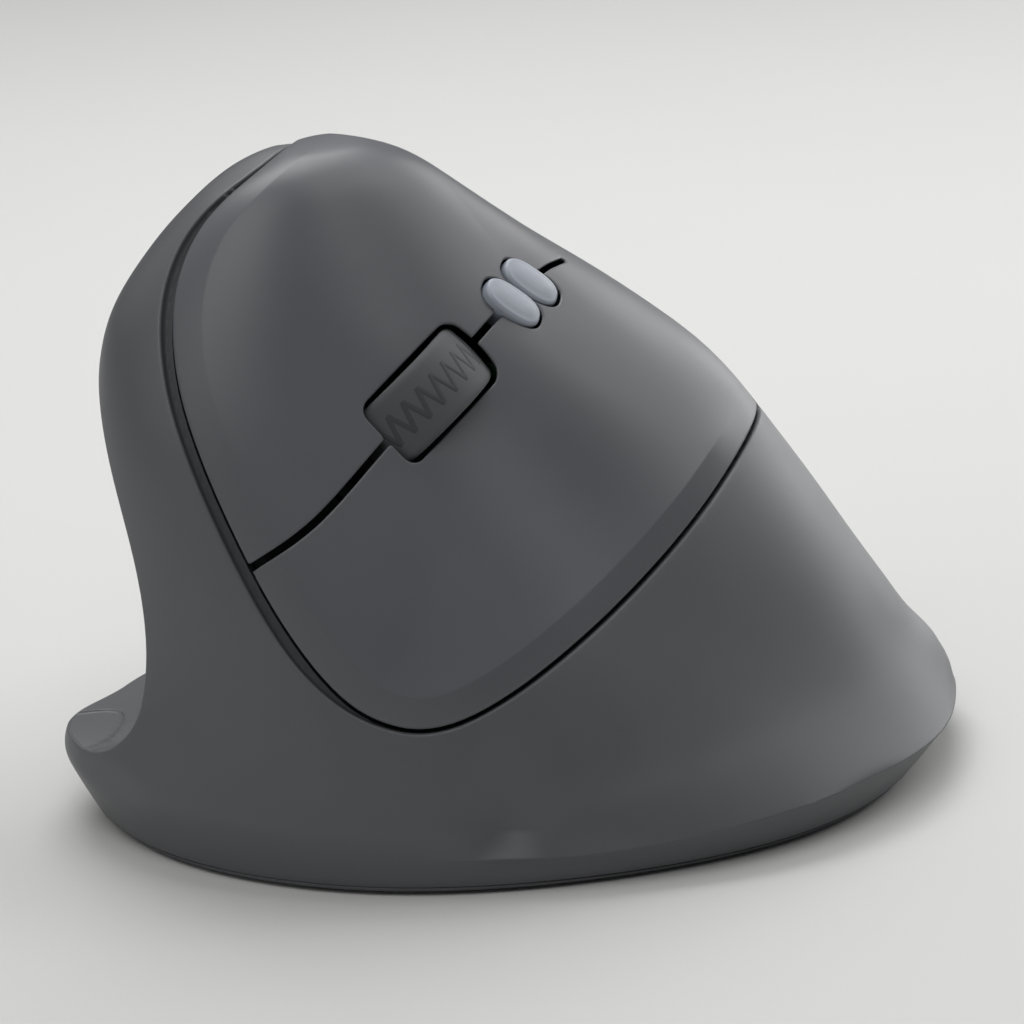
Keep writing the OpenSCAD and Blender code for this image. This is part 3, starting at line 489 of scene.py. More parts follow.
    def plan(self, rows: np.ndarray, bearing: np.ndarray) -> np.ndarray:
        """Points of the surface in the part's frame.

        Args:
            rows: Level values, one row for each point.
            bearing: Bearing of each point in radians.
        Returns:
            Points in millimetres.
        """
        r = self.radius(rows, bearing)
        x, y = rows[:, 1] + r * np.cos(bearing), rows[:, 2] + r * np.sin(bearing)
        return np.stack([x, y, rows[:, 0]], 1) + self.shift

    def outside(self, p: np.ndarray) -> np.ndarray:
        """How far points lie outside the form, level by level.

        Args:
            p: Points in millimetres.
        Returns:
            Radial distance, negative inside.
        """
        q = p - self.shift
        t = np.interp(q[:, 2], self.table[:, 0], self.table_t)
        rows = np.stack([np.interp(t, self.table_t, c) for c in self.table.T], 1)
        x, y = q[:, 0] - rows[:, 1], q[:, 1] - rows[:, 2]
        return np.hypot(x, y) - self.radius(rows, np.arctan2(y, x))

    def bearing(self, p: np.ndarray) -> np.ndarray:
        """Bearing of points about the middle of the base."""
        q = p - self.shift
        return np.degrees(np.arctan2(q[:, 1] - self.levels[0, 2], q[:, 0])) % 360

    def reach(self, bearing: np.ndarray, z: np.ndarray) -> np.ndarray:
        """Distance of the surface from the middle of the base.

        Args:
            bearing: Bearings in degrees.
            z: Heights in millimetres.
        Returns:
            Distances in millimetres.
        """
        b = np.radians(bearing)
        way = np.stack([np.cos(b), np.sin(b), np.zeros(len(b))], 1)
        foot = np.stack([np.zeros(len(b)), np.full(len(b), self.levels[0, 2]), z - self.shift[2]], 1)
        foot = foot + self.shift
        r = np.full(len(b), self.reach_start)
        for _ in range(self.reach_steps):
            r -= self.outside(foot + r[:, None] * way)
        return r

    def base_outline(self, count: int, inset: float = 0.0) -> np.ndarray:
        """Outline of the base.

        Args:
            count: Number of points.
            inset: How far it is drawn in, in millimetres.
        Returns:
            Plan points in the part's frame.
        """
        b = np.arange(count) * 2 * math.pi / count
        row = np.repeat(self.levels[:1], count, 0)
        r = self.radius(row, b) - inset
        return np.stack([row[:, 1] + r * np.cos(b), row[:, 2] + r * np.sin(b)], 1) + self.shift[:2]


def slope(field: Field, p: np.ndarray, step: float = 0.05) -> np.ndarray:
    """Gradient of a field by central differences."""
    moves = np.eye(3) * step
    return np.stack([(field(p + m) - field(p - m)) / (2 * step) for m in moves], 1)


# Direction out of the body at the thumb lip, across and along
LIP_WAY = (0.711, 0.703)


@dataclass(frozen=True)
class Scoop:
    """The thumb scoop: a hollow swept round a far upright axis."""

    axis: tuple[float, float] = (168.2, 14.3)
    radius: float = 158.0
    low: float = 9.6
    corner: float = 7.0
    lean: float = 90.0
    rise: float = 0.02
    reach: float = 46.0
    top: float = 64.0
    sweep: float = 52.0
    shelf_points: int = 39
    corner_points: int = 16
    wall_points: int = 49

    def wall(self, z: np.ndarray) -> np.ndarray:
        """Distance of the thumb wall from the axis."""
        return self.radius - (np.asarray(z, float) - self.low - self.corner) ** 2 / self.lean

    @staticmethod
    def lift(x: np.ndarray, y: np.ndarray) -> np.ndarray:
        """Rise of the shelf towards the front of its lip, after a slight dip behind it."""
        near = LIP_WAY[0] * y - LIP_WAY[1] * x
        return 1.4 * ramp(near, -2, 20) - 1.3 * np.exp(-((near + 10) / 11) ** 2)

    def section(self) -> np.ndarray:
        """Section of the hollow: distance from the axis against height.

        Returns:
            Points from the shelf's outer edge up to the top of the wall.
        """
        inner = self.radius - self.corner
        shelf_x = np.linspace(self.radius - self.reach, inner, self.shelf_points + 1)[:-1]
        shelf = np.stack([shelf_x, self.low + self.rise * (inner - shelf_x)], 1)
        a = np.radians(np.linspace(0, 90, self.corner_points))
        turn = np.stack([inner + self.corner * np.sin(a), self.low + self.corner * (1 - np.cos(a))], 1)
        z = np.linspace(self.low + self.corner, self.top, self.wall_points + 1)[1:]
        return np.concatenate([shelf, turn, np.stack([self.wall(z), z], 1)])

    def solid(self, steps: int) -> tuple[np.ndarray, list]:
        """Closed solid of the hollow.

        Args:
            steps: Steps along the sweep.
        Returns:
            Points and faces.
        """
        line = np.concatenate([self.section(), [[self.radius - self.reach, self.top]]])
        n = len(line)
        angle = np.radians(np.linspace(180 - self.sweep / 2, 180 + self.sweep / 2, steps + 1))
        points = np.concatenate([np.stack([self.axis[0] + line[:, 0] * math.cos(a),
                                           self.axis[1] + line[:, 0] * math.sin(a), line[:, 1]], 1)
                                 for a in angle])
        points[:, 2] += self.lift(points[:, 0], points[:, 1])
        faces = [[a, d, c, b] for a, b, c, d in ring_faces(steps + 1, n)]
        cap = tessellate_polygon([[Vector((p[0], p[1], 0)) for p in line]])
        flat = np.array(cap)
        area = np.cross(line[flat[:, 1]] - line[flat[:, 0]], line[flat[:, 2]] - line[flat[:, 0]])
        flat[area < 0] = flat[area < 0][:, ::-1]
        # A cap that turns against the clock in its own plane looks back along the sweep at its start
        faces += flat.tolist() + (flat[:, ::-1] + steps * n).tolist()
        return points, faces

    def clear(self, p: np.ndarray) -> np.ndarray:
        """Distance of points from the hollow.

        Args:
            p: Points in millimetres.
        Returns:
            Distances, negative inside the hollow.
        """
        x, y, z = p.T
        q = np.stack([np.hypot(x - self.axis[0], y - self.axis[1]), z - self.lift(x, y)], 1)
        line = self.section()
        a, d = line[:-1], np.diff(line, axis=0)
        best = np.full(len(q), 1e9)
        for start, way in zip(a, d):
            u = np.clip(((q - start) @ way) / (way @ way), 0, 1)
            best = np.minimum(best, np.linalg.norm(q - start - u[:, None] * way, axis=1))
        shelf = np.interp(q[:, 0], *line[:self.shelf_points + self.corner_points].T)
        within = (q[:, 1] > shelf) & (q[:, 0] < self.wall(np.maximum(q[:, 1], self.low + self.corner)))
        return np.where(within, -best, best)


class Outline:
    """A smooth convex outline on a closed spline.

    Attributes:
        inward: Direction into the outline from each of its edges.
        offset: Place of each edge along its own direction.
    """

    parts = 6

    def __init__(self, guide: tuple) -> None:
        """Draw the outline.

        Args:
            guide: Plan points that guide the spline, against the clock.
        """
        g = np.array(guide, float)
        before, after, beyond = np.roll(g, 1, 0), np.roll(g, -1, 0), np.roll(g, -2, 0)
        curve = []
        for f in np.arange(self.parts) / self.parts:
            curve.append(((1 - f) ** 3 * before + (3 * f ** 3 - 6 * f ** 2 + 4) * g
                          + (-3 * f ** 3 + 3 * f ** 2 + 3 * f + 1) * after + f ** 3 * beyond) / 6)
        hull = self.hull(np.concatenate(curve))
        way = unit(np.roll(hull, -1, 0) - hull)
        self.inward = np.stack([-way[:, 1], way[:, 0]], 1)
        self.offset = (self.inward * hull).sum(1)

    def distances(self, xy: np.ndarray) -> np.ndarray:
        """Distance of plan points inside every edge."""
        return xy @ self.inward.T - self.offset

    @staticmethod
    def hull(p: np.ndarray) -> np.ndarray:
        """Convex outline of plan points, against the clock.

        Args:
            p: Plan points.
        Returns:
            The corner points of the outline.
        """
        p = p[np.lexsort((p[:, 1], p[:, 0]))]

        def half(points: np.ndarray) -> list:
            """One side of the outline, without its last point."""
            line: list = []
            for q in points:
                while len(line) > 1 and np.cross(line[-1] - line[-2], q - line[-1]) <= 1e-9:
                    line.pop()
                line.append(q)
            return line[:-1]

        return np.array(half(p) + half(p[::-1]))


# Places across and along the panel that guide its outline, from the thumb side round the front to the rear
PANEL_EDGE = ((31.6, -11.6), (32.5, -6.9), (32.9, -2.4), (32.6, 2.2), (31.3, 6.4), (28.9, 10.9), (25.6, 15.2),
              (21.4, 19.2), (16.4, 22.4), (9.8, 25.4), (1.1, 28.4), (-5.3, 30.2), (-10.2, 31.2), (-14.6, 31.8),
              (-19.2, 31.8), (-23.2, 30.5), (-26.0, 28.6), (-28.2, 25.6), (-29.8, 21.1), (-31.1, 15.0),
              (-32.3, 5.2), (-32.8, -4.1), (-32.7, -12.4), (-32.3, -20.3), (-31.7, -28.5), (-31.0, -40.0),
              (-30.0, -58.0), (-28.0, -76.0), (0.0, -78.0), (22.0, -76.0), (25.0, -58.0), (27.5, -40.0),
              (29.3, -26.0), (30.6, -18.0))


class PanelFrame:
    """The panel's own frame: X across the slit, Y along it to the front, Z out of the panel."""

    origin = np.array([-3.4, 20.6, 53.2])
    turn = rotation("Z", -17) @ rotation("Y", -57) @ rotation("Z", 33)
    floor = 15.0
    least_lean = 0.12
    ridge_at, ridge_slant = 27.5, 0.285

    def __init__(self, form: BodyForm) -> None:
        """Keep the form and draw the panel's outline on it."""
        self.form = form
        self.outline = Outline(PANEL_EDGE)

    def local(self, p: np.ndarray) -> np.ndarray:
        """Points in the panel's frame."""
        return (p - self.origin) @ self.turn

    def world(self, q: np.ndarray) -> np.ndarray:
        """Points of the panel's frame in the part's frame."""
        return np.asarray(q, float) @ self.turn.T + self.origin

    def inside(self, p: np.ndarray) -> np.ndarray:
        """Distance inside the panel's outline, measured along the surface.

        Args:
            p: Points of the part in millimetres.
        Returns:
            Distances, negative outside.
        """
        q = self.local(p)
        lines = self.outline.distances(q[:, :2])
        edge = lines.argmin(1)
        normal = unit(slope(self.form.outside, p))
        across = self.outline.inward[edge] @ self.turn[:, :2].T
        lean = np.sqrt(np.clip(1 - (across * normal).sum(1) ** 2, self.least_lean, 1))
        deep = np.sqrt(np.clip(1 - (normal @ self.turn[:, 2]) ** 2, self.least_lean, 1))
        return np.minimum(lines.min(1) / lean, (q[:, 2] + self.floor) / deep)

    def ridge(self, q: np.ndarray) -> np.ndarray:
        """Distance in front of the ridge line."""
        return q[:, 1] + self.ridge_at - self.ridge_slant * q[:, 0]


# Skins

class Skin:
    """A triangle skin that is split along fields, moved and given thickness."""

    snap = 0.06

    def __init__(self, points: np.ndarray, faces: np.ndarray) -> None:
        """Start from points in millimetres and triangles, without fields."""
        self.points, self.faces = points, faces
        self.fields: dict[str, Field] = {}
        self.values: dict[str, np.ndarray] = {}

    def field(self, name: str, function: Field) -> None:
        """Add a named field and work it out on every point."""
        self.fields[name] = function
        self.values[name] = function(self.points)

    def split(self, name: str, *levels: float) -> None:
        """Cut the triangles where a named field passes each of the levels."""
        for level in levels:
            self.split_once(name, level)

    def split_once(self, name: str, level: float) -> None:
        """Cut the triangles where a field passes one level.

        Args:
            name: Name of the field.
            level: Level to cut at.
        """
        f = self.values[name] - level
        edges, back = np.unique(np.sort(self.ways(), axis=1), axis=0, return_inverse=True)
        back = back.reshape(3, -1).T
        a, b = edges[:, 0], edges[:, 1]
        cross = f[a] * f[b] < 0
        u = np.where(cross, f[a] / np.where(cross, f[a] - f[b], 1), 0)
        # A point that nearly lies on the level moves onto it, so no sliver is cut
        at_a, at_b = cross & (u < self.snap), cross & (u > 1 - self.snap)
        for end, other, near in ((a, b, at_a), (b, a, at_b)):
            share = u[near] if end is a else 1 - u[near]
            self.points[end[near]] += share[:, None] * (self.points[other[near]] - self.points[end[near]])
            f[end[near]] = 0
        moved = np.unique(np.concatenate([a[at_a], b[at_b]]))
        if len(moved):
            for key, function in self.fields.items():
                self.values[key][moved] = function(self.points[moved])
            self.values[name][moved] = level
        cross = f[a] * f[b] < 0
        if not cross.any():
            return
        u = f[a[cross]] / (f[a[cross]] - f[b[cross]])
        fresh = self.points[a[cross]] + u[:, None] * (self.points[b[cross]] - self.points[a[cross]])
        number = np.full(len(edges), -1)
        number[cross] = len(self.points) + np.arange(len(fresh))
        for key, function in self.fields.items():
            made = function(fresh)
            if key == name:
                made = np.full(len(fresh), level, float)
            self.values[key] = np.concatenate([self.values[key], made])
        self.points = np.concatenate([self.points, fresh])
        mid = number[back]
        cuts = (mid >= 0).sum(1)
        kept = [self.faces[cuts == 0]]
        for turn in range(3):
            v = np.roll(self.faces, -turn, 1)
            m = np.roll(mid, -turn, 1)
            two = (cuts == 2) & (m[:, 1] < 0)
            a, b, c, ab, ca = *v[two].T, m[two, 0], m[two, 2]
            kept += [np.stack(corners, 1) for corners in ((a, ab, ca), (ab, b, c), (ab, c, ca))]
            one = (cuts == 1) & (m[:, 1] >= 0)
            a, b, c, bc = *v[one].T, m[one, 1]
            kept += [np.stack(corners, 1) for corners in ((a, b, bc), (a, bc, c))]
        self.faces = np.concatenate(kept)

    def ways(self) -> np.ndarray:
        """The three edges of every triangle, in its own turn."""
        return np.concatenate([self.faces[:, [0, 1]], self.faces[:, [1, 2]], self.faces[:, [2, 0]]])

    def at_faces(self, name: str) -> np.ndarray:
        """A field's mean over each triangle."""
        return self.values[name][self.faces].mean(1)

    def keep(self, which: np.ndarray) -> "Skin":
        """A new skin of some of the triangles.

        Args:
            which: True for each triangle that stays.
        Returns:
            The new skin, with its fields.
        """
        faces = self.faces[which]
        used, back = np.unique(faces, return_inverse=True)
        made = Skin(self.points[used].copy(), back.reshape(-1, 3))
        made.fields = dict(self.fields)
        made.values = {k: v[used].copy() for k, v in self.values.items()}
        return made

    def normals(self) -> np.ndarray:
        """Normals at the points, weighted by the angles of the triangles.

        Returns:
            One unit normal for each point.
        """
        p = self.points[self.faces]
        flat = unit(np.cross(p[:, 1] - p[:, 0], p[:, 2] - p[:, 0]))
        total = np.zeros_like(self.points)
        for k in range(3):
            u, v = unit(p[:, (k + 1) % 3] - p[:, k]), unit(p[:, (k + 2) % 3] - p[:, k])
            angle = np.arccos(np.clip((u * v).sum(1), -1, 1))
            np.add.at(total, self.faces[:, k], flat * angle[:, None])
        return unit(total)

    def weld(self, closer: float = 1e-4) -> None:
        """Join points that lie on each other and drop triangles without area.

        Args:
            closer: Distance in millimetres under which points are one.
        """
        keys = np.round(self.points / closer).astype(np.int64)
        _, first, back = np.unique(keys, axis=0, return_index=True, return_inverse=True)
        self.points = self.points[first]
        self.values = {k: v[first] for k, v in self.values.items()}
        faces = back.reshape(-1)[self.faces]
        good = (faces[:, 0] != faces[:, 1]) & (faces[:, 1] != faces[:, 2]) & (faces[:, 2] != faces[:, 0])
        self.faces = faces[good]

    def thick(self, name: str, depth: np.ndarray, inward: np.ndarray, normals: np.ndarray,
              finishes: list[Finish], marks: np.ndarray | None = None) -> bpy.types.Object:
        """Close the skin into a wall and make an object of it.

        Args:
            name: Name of the piece.
            depth: Thickness in millimetres at each point.
            inward: Direction into the wall at each point.
            normals: Shading normal at each point of the skin.
            finishes: Finishes of the material slots.
            marks: Material slot of each triangle.
        Returns:
            The closed piece.
        """
        n, f = len(self.points), self.faces
        under = self.points + depth[:, None] * inward
        ways = self.ways()
        owner = np.tile(np.arange(len(f)), 3)
        codes = ways[:, 0].astype(np.int64) * n + ways[:, 1]
        free = ~np.isin(codes, ways[:, 1].astype(np.int64) * n + ways[:, 0])
        a, b, own = ways[free, 0], ways[free, 1], owner[free]
        points = np.concatenate([self.points, under])
        rim = np.concatenate([np.stack([b, a, a + n], 1), np.stack([b, a + n, b + n], 1)])
        faces = np.concatenate([f, f[:, ::-1] + n, rim])
        flat = unit(np.cross(points[rim[:, 1]] - points[rim[:, 0]], points[rim[:, 2]] - points[rim[:, 0]]))
        shade = np.concatenate([normals[f].reshape(-1, 3), -normals[f[:, ::-1]].reshape(-1, 3),
                                np.repeat(flat, 3, 0)])
        marks = np.zeros(len(f), int) if marks is None else marks
        slots = np.concatenate([marks, marks, np.tile(marks[own], 2)])
        return new_object(name, points, faces, finishes, slots, shade)


def held(p: np.ndarray, soft: float = 0.7) -> np.ndarray:
    """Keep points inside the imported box, pressing in softly near its faces.

    Args:
        p: Points in millimetres.
        soft: Depth under the box's faces from which points are pressed in.
    Returns:
        The kept points.
    """
    low, high = np.array(START_BOUNDS) / MM + np.array([[BOX_GAP], [-BOX_GAP]])
    p = np.where(p > high - soft, high - soft + soft * np.tanh((p - high + soft) / soft), p)
    return np.where(p < low + soft, low + soft - soft * np.tanh((low + soft - p) / soft), p)


def rounded(e: np.ndarray, r: float) -> np.ndarray:
    """Drop of a quarter-round edge."""
    u = np.clip(r - e, 0, r)
    return r - np.sqrt(np.maximum(r * r - u * u, 0))


def round_box(x: np.ndarray, y: np.ndarray, half: tuple[float, float], corner: float) -> np.ndarray:
    """Distance outside a rounded rectangle."""
    dx, dy = np.abs(x) - half[0] + corner, np.abs(y) - half[1] + corner
    return np.hypot(np.maximum(dx, 0), np.maximum(dy, 0)) + np.minimum(np.maximum(dx, dy), 0) - corner


@dataclass(frozen=True)
class ThumbPlace:
    """Place of one thumb button on the thumb wall."""

    name: str
    bearing: float
    z: float = 36.0
    lean: float = 23.32

    def turn(self) -> np.ndarray:
        """Turn from the button's frame to the part's."""
        return rotation("Z", self.bearing) @ rotation("Y", -self.lean)

    def middle(self, scoop: Scoop) -> np.ndarray:
        """Middle of the button on the wall."""
        a, r = math.radians(self.bearing), float(scoop.wall(self.z))
        return np.array([scoop.axis[0] + r * math.cos(a), scoop.axis[1] + r * math.sin(a), self.z])

    def local(self, p: np.ndarray, scoop: Scoop) -> np.ndarray:
        """Points in the button's frame."""
        return (p - self.middle(scoop)) @ self.turn()


THUMBS = (ThumbPlace("forward_button", 184.32), ThumbPlace("back_button", 189.46))


@dataclass(frozen=True)
class PillPlace:
    """Place and outline of the two small buttons behind the wheel."""

    middle: tuple[float, float, float] = (0.3, -18.8, -2.2)
    tilt: float = 20.0
    turn: float = 18.0
    pitch: float = 4.85
    size: tuple[float, float] = (7.6, 4.55)
    fullness: float = 2.6
    end_gap: float = 0.36
    side_gap: float = 0.12

    def oval(self, count: int) -> np.ndarray:
        """Outline of one cap, turned in its own plane.

        Args:
            count: Number of points.
        Returns:
            Plan points, against the clock.
        """
        a = np.arange(count) * 2 * math.pi / count
        c, s = np.cos(a), np.sin(a)
        power = 2 / self.fullness
        flat = np.stack([self.size[0] / 2 * np.sign(c) * np.abs(c) ** power,
                         self.size[1] / 2 * np.sign(s) * np.abs(s) ** power], 1)
        return flat @ rotation("Z", self.turn)[:2, :2].T

    def gap(self, x: np.ndarray, y: np.ndarray, side: int) -> np.ndarray:
        """Distance outside a cap's opening.

        Args:
            x: Places across the panel.
            y: Places along the panel.
            side: 1 for the front cap, -1 for the rear one.
        Returns:
            Distances, negative in the opening.
        """
        v = (y - self.middle[1]) / math.cos(math.radians(self.tilt)) - side * self.pitch / 2
        own = np.stack([x - self.middle[0], v], 1) @ rotation("Z", self.turn)[:2, :2]
        half = np.array(self.size) / 2 + np.array([self.end_gap, self.side_gap])
        reach = (np.abs(own / half) ** self.fullness).sum(1) ** (1 / self.fullness)
        return (reach - 1) * half[1]


PILLS = PillPlace()
# Places along and across the panel that the slit between the keys runs through
SLIT = ((-32, -2.0), (-29.1, -1.16), (-27, -0.55), (-24.7, 0.13), (-20, 0.5), (-12.7, 0.62), (-9.6, 0.53),
        (0, 0.1), (9, -0.32), (12.5, -0.52), (16.9, -0.8), (20.8, -0.87), (24, -0.51), (26.2, 0.0),
        (28.7, 0.63), (34, 2.0))
# Place, height and reach of the swells on the shoulders of the body
SWELLS = (((22.7, 29.4, 75.8), -1.5, 5.2), ((25.6, 41.5, 60.0), 1.2, 5.5), ((-6.6, -23.0, 47.0), 0.9, 7.0),
          ((2.4, -13.5, 57.6), 0.6, 9.0), ((-24.3, -45.7, 9.5), 1.5, 4.5), ((-22.9, -38.3, 17.5), 0.8, 5.0))
# Bearing and height of the crest that runs round the flange
CREST = ((0, 6.4), (110, 5.0), (124, 4.75), (137, 4.45), (150, 4.65), (167, 5.6), (180, 6.05), (195, 6.65),
         (205, 7.0), (215, 6.8), (225, 6.4), (360, 6.4))
# Place, move and reach of the pulls that point the thumb lip: out at its tip, in behind it
LIP_PULLS = (((29.5, 48.5, 5.0), 1.1, 9.0), ((37.6, 39.6, 8.0), -2.4, 6.5))
# Plan points that guide the outline of the thumb pad
PAD_EDGE = ((32.9, 46.5), (32.0, 43.2), (30.0, 41.0), (27.0, 41.8), (24.4, 44.3), (22.2, 47.0), (21.0, 52.0),
            (27.0, 58.0), (34.0, 54.0))


@dataclass
class Body:
    """The skins of the body: the outer shell and the key panel, cut from one smooth form."""

    spacing: float = 0.75
    sides: int = 380
    seam_z: float = 1.15
    rim: float = 0.4
    wall: float = 1.7
    panel_wall: float = 2.0
    panel_edge: float = 0.35
    ledge: float = 1.0
    slit: float = 0.45
    crease_at: float = 3.4
    crease: float = 0.5
    dish: float = 0.55
    slot: tuple[float, float] = (4.55, 8.2)
    slot_corner: float = 1.6
    slot_arch: float = 0.8
    flare: float = 6.5
    flange_in: tuple[float, float] = (119, 127)
    flange_out: tuple[float, float] = (255, 300)
    scallop: float = 2.7
    scallop_at: float = 128.0
    scallop_width: float = 7.5
    scallop_rise: float = 2.2
    scallop_fade: float = 11.0
    crest_under: float = 0.15
    pad_depth: float = 0.22
    groove_least: float = 0.17
    ledge_gap: float = 0.15
    crown_dip: float = 0.3
    opening_wall: float = 0.15
    opening_run: float = 3.5
    flex_at: float = -26.0
    flex_run: float = 9.0
    flex_lean: float = 16.0
    thumb_hole: tuple[float, float] = (6.25, 3.25)
    door_middle: float = -17.0
    door_half: float = 9.7
    door_step: float = 0.5

    def __post_init__(self) -> None:
        """Draw the form, the scoop, the panel's frame and the lines on them."""
        self.form, self.scoop = BodyForm(), Scoop()
        self.panel = PanelFrame(self.form)
        self.pad = Outline(PAD_EDGE)
        self.slit_line, self.crest_line = self.smoothed(SLIT), self.smoothed(CREST)

    @staticmethod
    def smoothed(table: tuple) -> np.ndarray:
        """A table of places drawn as a smooth line.

        Args:
            table: Pairs of a place and a value.
        Returns:
            Places and values, close together.
        """
        fine = np.linspace(table[0][0], table[-1][0], 401)
        line = np.interp(fine, *np.array(table).T)
        bell = np.exp(-np.linspace(-2.5, 2.5, 31) ** 2 / 2)
        return np.stack([fine, np.convolve(np.pad(line, 15, mode="edge"), bell / bell.sum(), mode="valid")])

    def build(self) -> None:
        """Make the shell and both halves of the panel."""
        skin = self.carved()
        skin.field("edge", self.panel.inside)
        skin.split("edge", 0.0)
        inside = skin.at_faces("edge") > 0
        self.build_shell(skin.keep(~inside))
        self.build_panel(skin.keep(inside))

    def carved(self) -> Skin:
        """The form with the scoop cut out and its rim rounded.

        Returns:
            A closed skin above the seam.
        """
        points, faces = self.form.solid(self.spacing, self.sides)
        whole = new_object("form", points, faces, [SHELL])
        cut = new_object("scoop", *self.scoop.solid(150), [SHELL])
        combine("form", whole, [cut], "DIFFERENCE")
        skin = Skin(*arrays(whole.data))
        bpy.data.objects.remove(whole)
        skin.weld()
        out, clear = self.form.outside, self.scoop.clear
        skin.field("brink", lambda p: np.hypot(out(p), clear(p)))
        skin.split("brink", self.rim * 0.15, self.rim * 0.35, self.rim * 0.65, self.rim * 1.05)
        near = np.flatnonzero(skin.values["brink"] < self.rim * 1.04)
        skin.points[near] = self.softened(skin.points[near])
        skin.fields.pop("brink")
        skin.values.pop("brink")
        skin.field("height", self.height)
        skin.split("height", self.seam_z)
        return skin.keep(skin.at_faces("height") > self.seam_z)

    def height(self, p: np.ndarray) -> np.ndarray:
        """Height of points, counted less over the battery door, so that the lower edge steps up there."""
        door = ramp(self.door_half - np.abs(p[:, 0] - self.door_middle), 0, 0.9) * (p[:, 1] < -20)
        return p[:, 2] - self.door_step * door

    def softened(self, p: np.ndarray) -> np.ndarray:
        """Bring points near the scoop's brink onto a rounded brink.

        Args:
            p: Points near the brink in millimetres.
        Returns:
            The moved points.
        """
        def blend(x: np.ndarray) -> np.ndarray:
            """Distance outside the form with the scoop's brink rounded."""
            a = self.form.outside(x)
            a = a / np.maximum(np.linalg.norm(slope(self.form.outside, x), axis=1), 1)
            b = -self.scoop.clear(x)
            h = np.maximum(self.rim - np.abs(a - b), 0)
            return np.maximum(a, b) + h * h / (4 * self.rim)

        for _ in range(4):
            g = slope(blend, p, 0.03)
            p = p - (blend(p) / np.maximum((g * g).sum(1), 0.2))[:, None] * g
        return p

    def groove(self, p: np.ndarray) -> np.ndarray:
        """Width of the groove between the shell's top edge and the panel's outline."""
        q = self.panel.local(p)
        return self.groove_least + ramp(q[:, 1], -10, 9) * ramp(q[:, 0], -24, -8)

    def build_shell(self, skin: Skin) -> None:
        """Make the outer shell with its groove, flange crest, thumb pad and button openings.

        Args:
            skin: The part of the skin outside the panel.
        """
        skin.field("far", lambda p: -self.panel.inside(p))
        skin.field("lip", lambda p: -self.panel.inside(p) - self.groove(p))
        skin.split("far", self.ledge_gap)
        skin = skin.keep(skin.at_faces("far") > self.ledge_gap)
        skin.split("lip", -0.06, 0.0, 0.05, 0.14, 0.3)
        skin.field("crest", lambda p: p[:, 2] - np.interp(self.form.bearing(p), *self.crest_line))
        skin.split("crest", -0.12, 0.0, 0.12)
        for place in THUMBS:
            skin.field(place.name, lambda p, place=place: self.thumb_gap(p, place))
            skin.split(place.name, 0.0)
            skin = skin.keep(skin.at_faces(place.name) > 0)
            skin.split(place.name, 0.05, 0.15, 0.3)
        skin.field("pad", self.thumb_pad)
        skin.split("pad", -0.2, -0.1, 0.0, 0.05)
        plain = skin.normals()
        v = skin.values
        over = v["lip"] > -0.03
        lift = np.where(v["lip"] < -0.03, -self.ledge, 0) - rounded(v["lip"], 0.3) * over
        closed = self.groove(skin.points) < 0.25
        lift -= rounded(np.maximum(v["far"] - self.ledge_gap, 0), 0.2) * over * closed
        for place in THUMBS:
            lift -= rounded(v[place.name], 0.3) * (v[place.name] < 0.3)
        clear = self.scoop.clear(skin.points)
        out = self.form.outside(skin.points)
        pad = ramp(-v["pad"], -0.05, 0.2) * ramp(-out, 0.02, 0.3) * (1 - ramp(clear, 0.1, 1.5))
        lift -= self.pad_depth * pad * (v["height"] < 14)
        lift += self.swell(skin.points)
        flange = self.flange(skin, plain) * (clear > 0.5)[:, None]
        # The edge dips towards the panel where the groove runs out over the crown
        lift -= self.crown_dip * (1 - ramp(v["far"], 0, 3)) * self.crown(skin.points)
        lift -= 0.14 * (1 - ramp(v["height"], self.seam_z, self.seam_z + 0.25))
        skin.points = held(skin.points + lift[:, None] * plain + flange + self.lip(skin.points))
        # Triangles of the ledge in the groove take the second slot, a darker colour that is painted shade
        marks = (skin.at_faces("lip") < -0.01).astype(int)
        # The wall thins out towards the brink, where the two skins meet at an edge
        depth = np.clip(0.5 * np.hypot(out, clear), 0.12, self.wall)
        made = skin.thick("shell_skin", depth, -plain, skin.normals(), [SHELL, LEDGE_SHADE], marks)
        settle(made, "case", "shell", "main_shell")

    def flange(self, skin: Skin, plain: np.ndarray) -> np.ndarray:
        """Moves that draw the flange in above and below its crest.

        Args:
            skin: The shell's skin, with its crest field.
            plain: Normals of the skin.
        Returns:
            Moves in millimetres.
        """
        p, crest = skin.points, skin.values["crest"]
        b, z, high = self.form.bearing(p), p[:, 2], self.flare
        move = np.zeros_like(p)
        near = np.flatnonzero((crest > 0) & (crest < high) & (b > 115) & (b < 305))
        bn, top = b[near], (z - crest)[near] + high
        r_top, r_low = self.form.reach(bn, top), self.form.reach(bn, top - high)
        lean = (self.form.reach(bn, top + 0.2) - self.form.reach(bn, top - 0.2)) / 0.4
        u = top - z[near]
        flare = r_top - lean * u + (r_low - r_top + lean * high) * (u / high) ** 2
        way = np.stack([np.cos(np.radians(bn)), np.sin(np.radians(bn)), np.zeros(len(bn))], 1)
        move[near] = -np.maximum(self.form.reach(bn, z[near]) - flare, 0)[:, None] * way
        # The flange starts with a scallop, which catches the light
        above, below = np.maximum(crest, 0), np.maximum(-crest, 0)
        scallop = self.scallop * np.exp(-((b - self.scallop_at) / self.scallop_width) ** 2)
        scallop = scallop * (1 - np.exp(-above / self.scallop_rise)) * np.exp(-(above / self.scallop_fade) ** 2)
        under = self.crest_under * ramp(z, self.seam_z + 0.2, self.seam_z + 1.6) * below * np.exp(1 - below)
        run = ramp(b, *self.flange_in) * (1 - ramp(b, *self.flange_out))
        drawn = (move - under[:, None] * plain) * run[:, None]
        return drawn - scallop[:, None] * plain

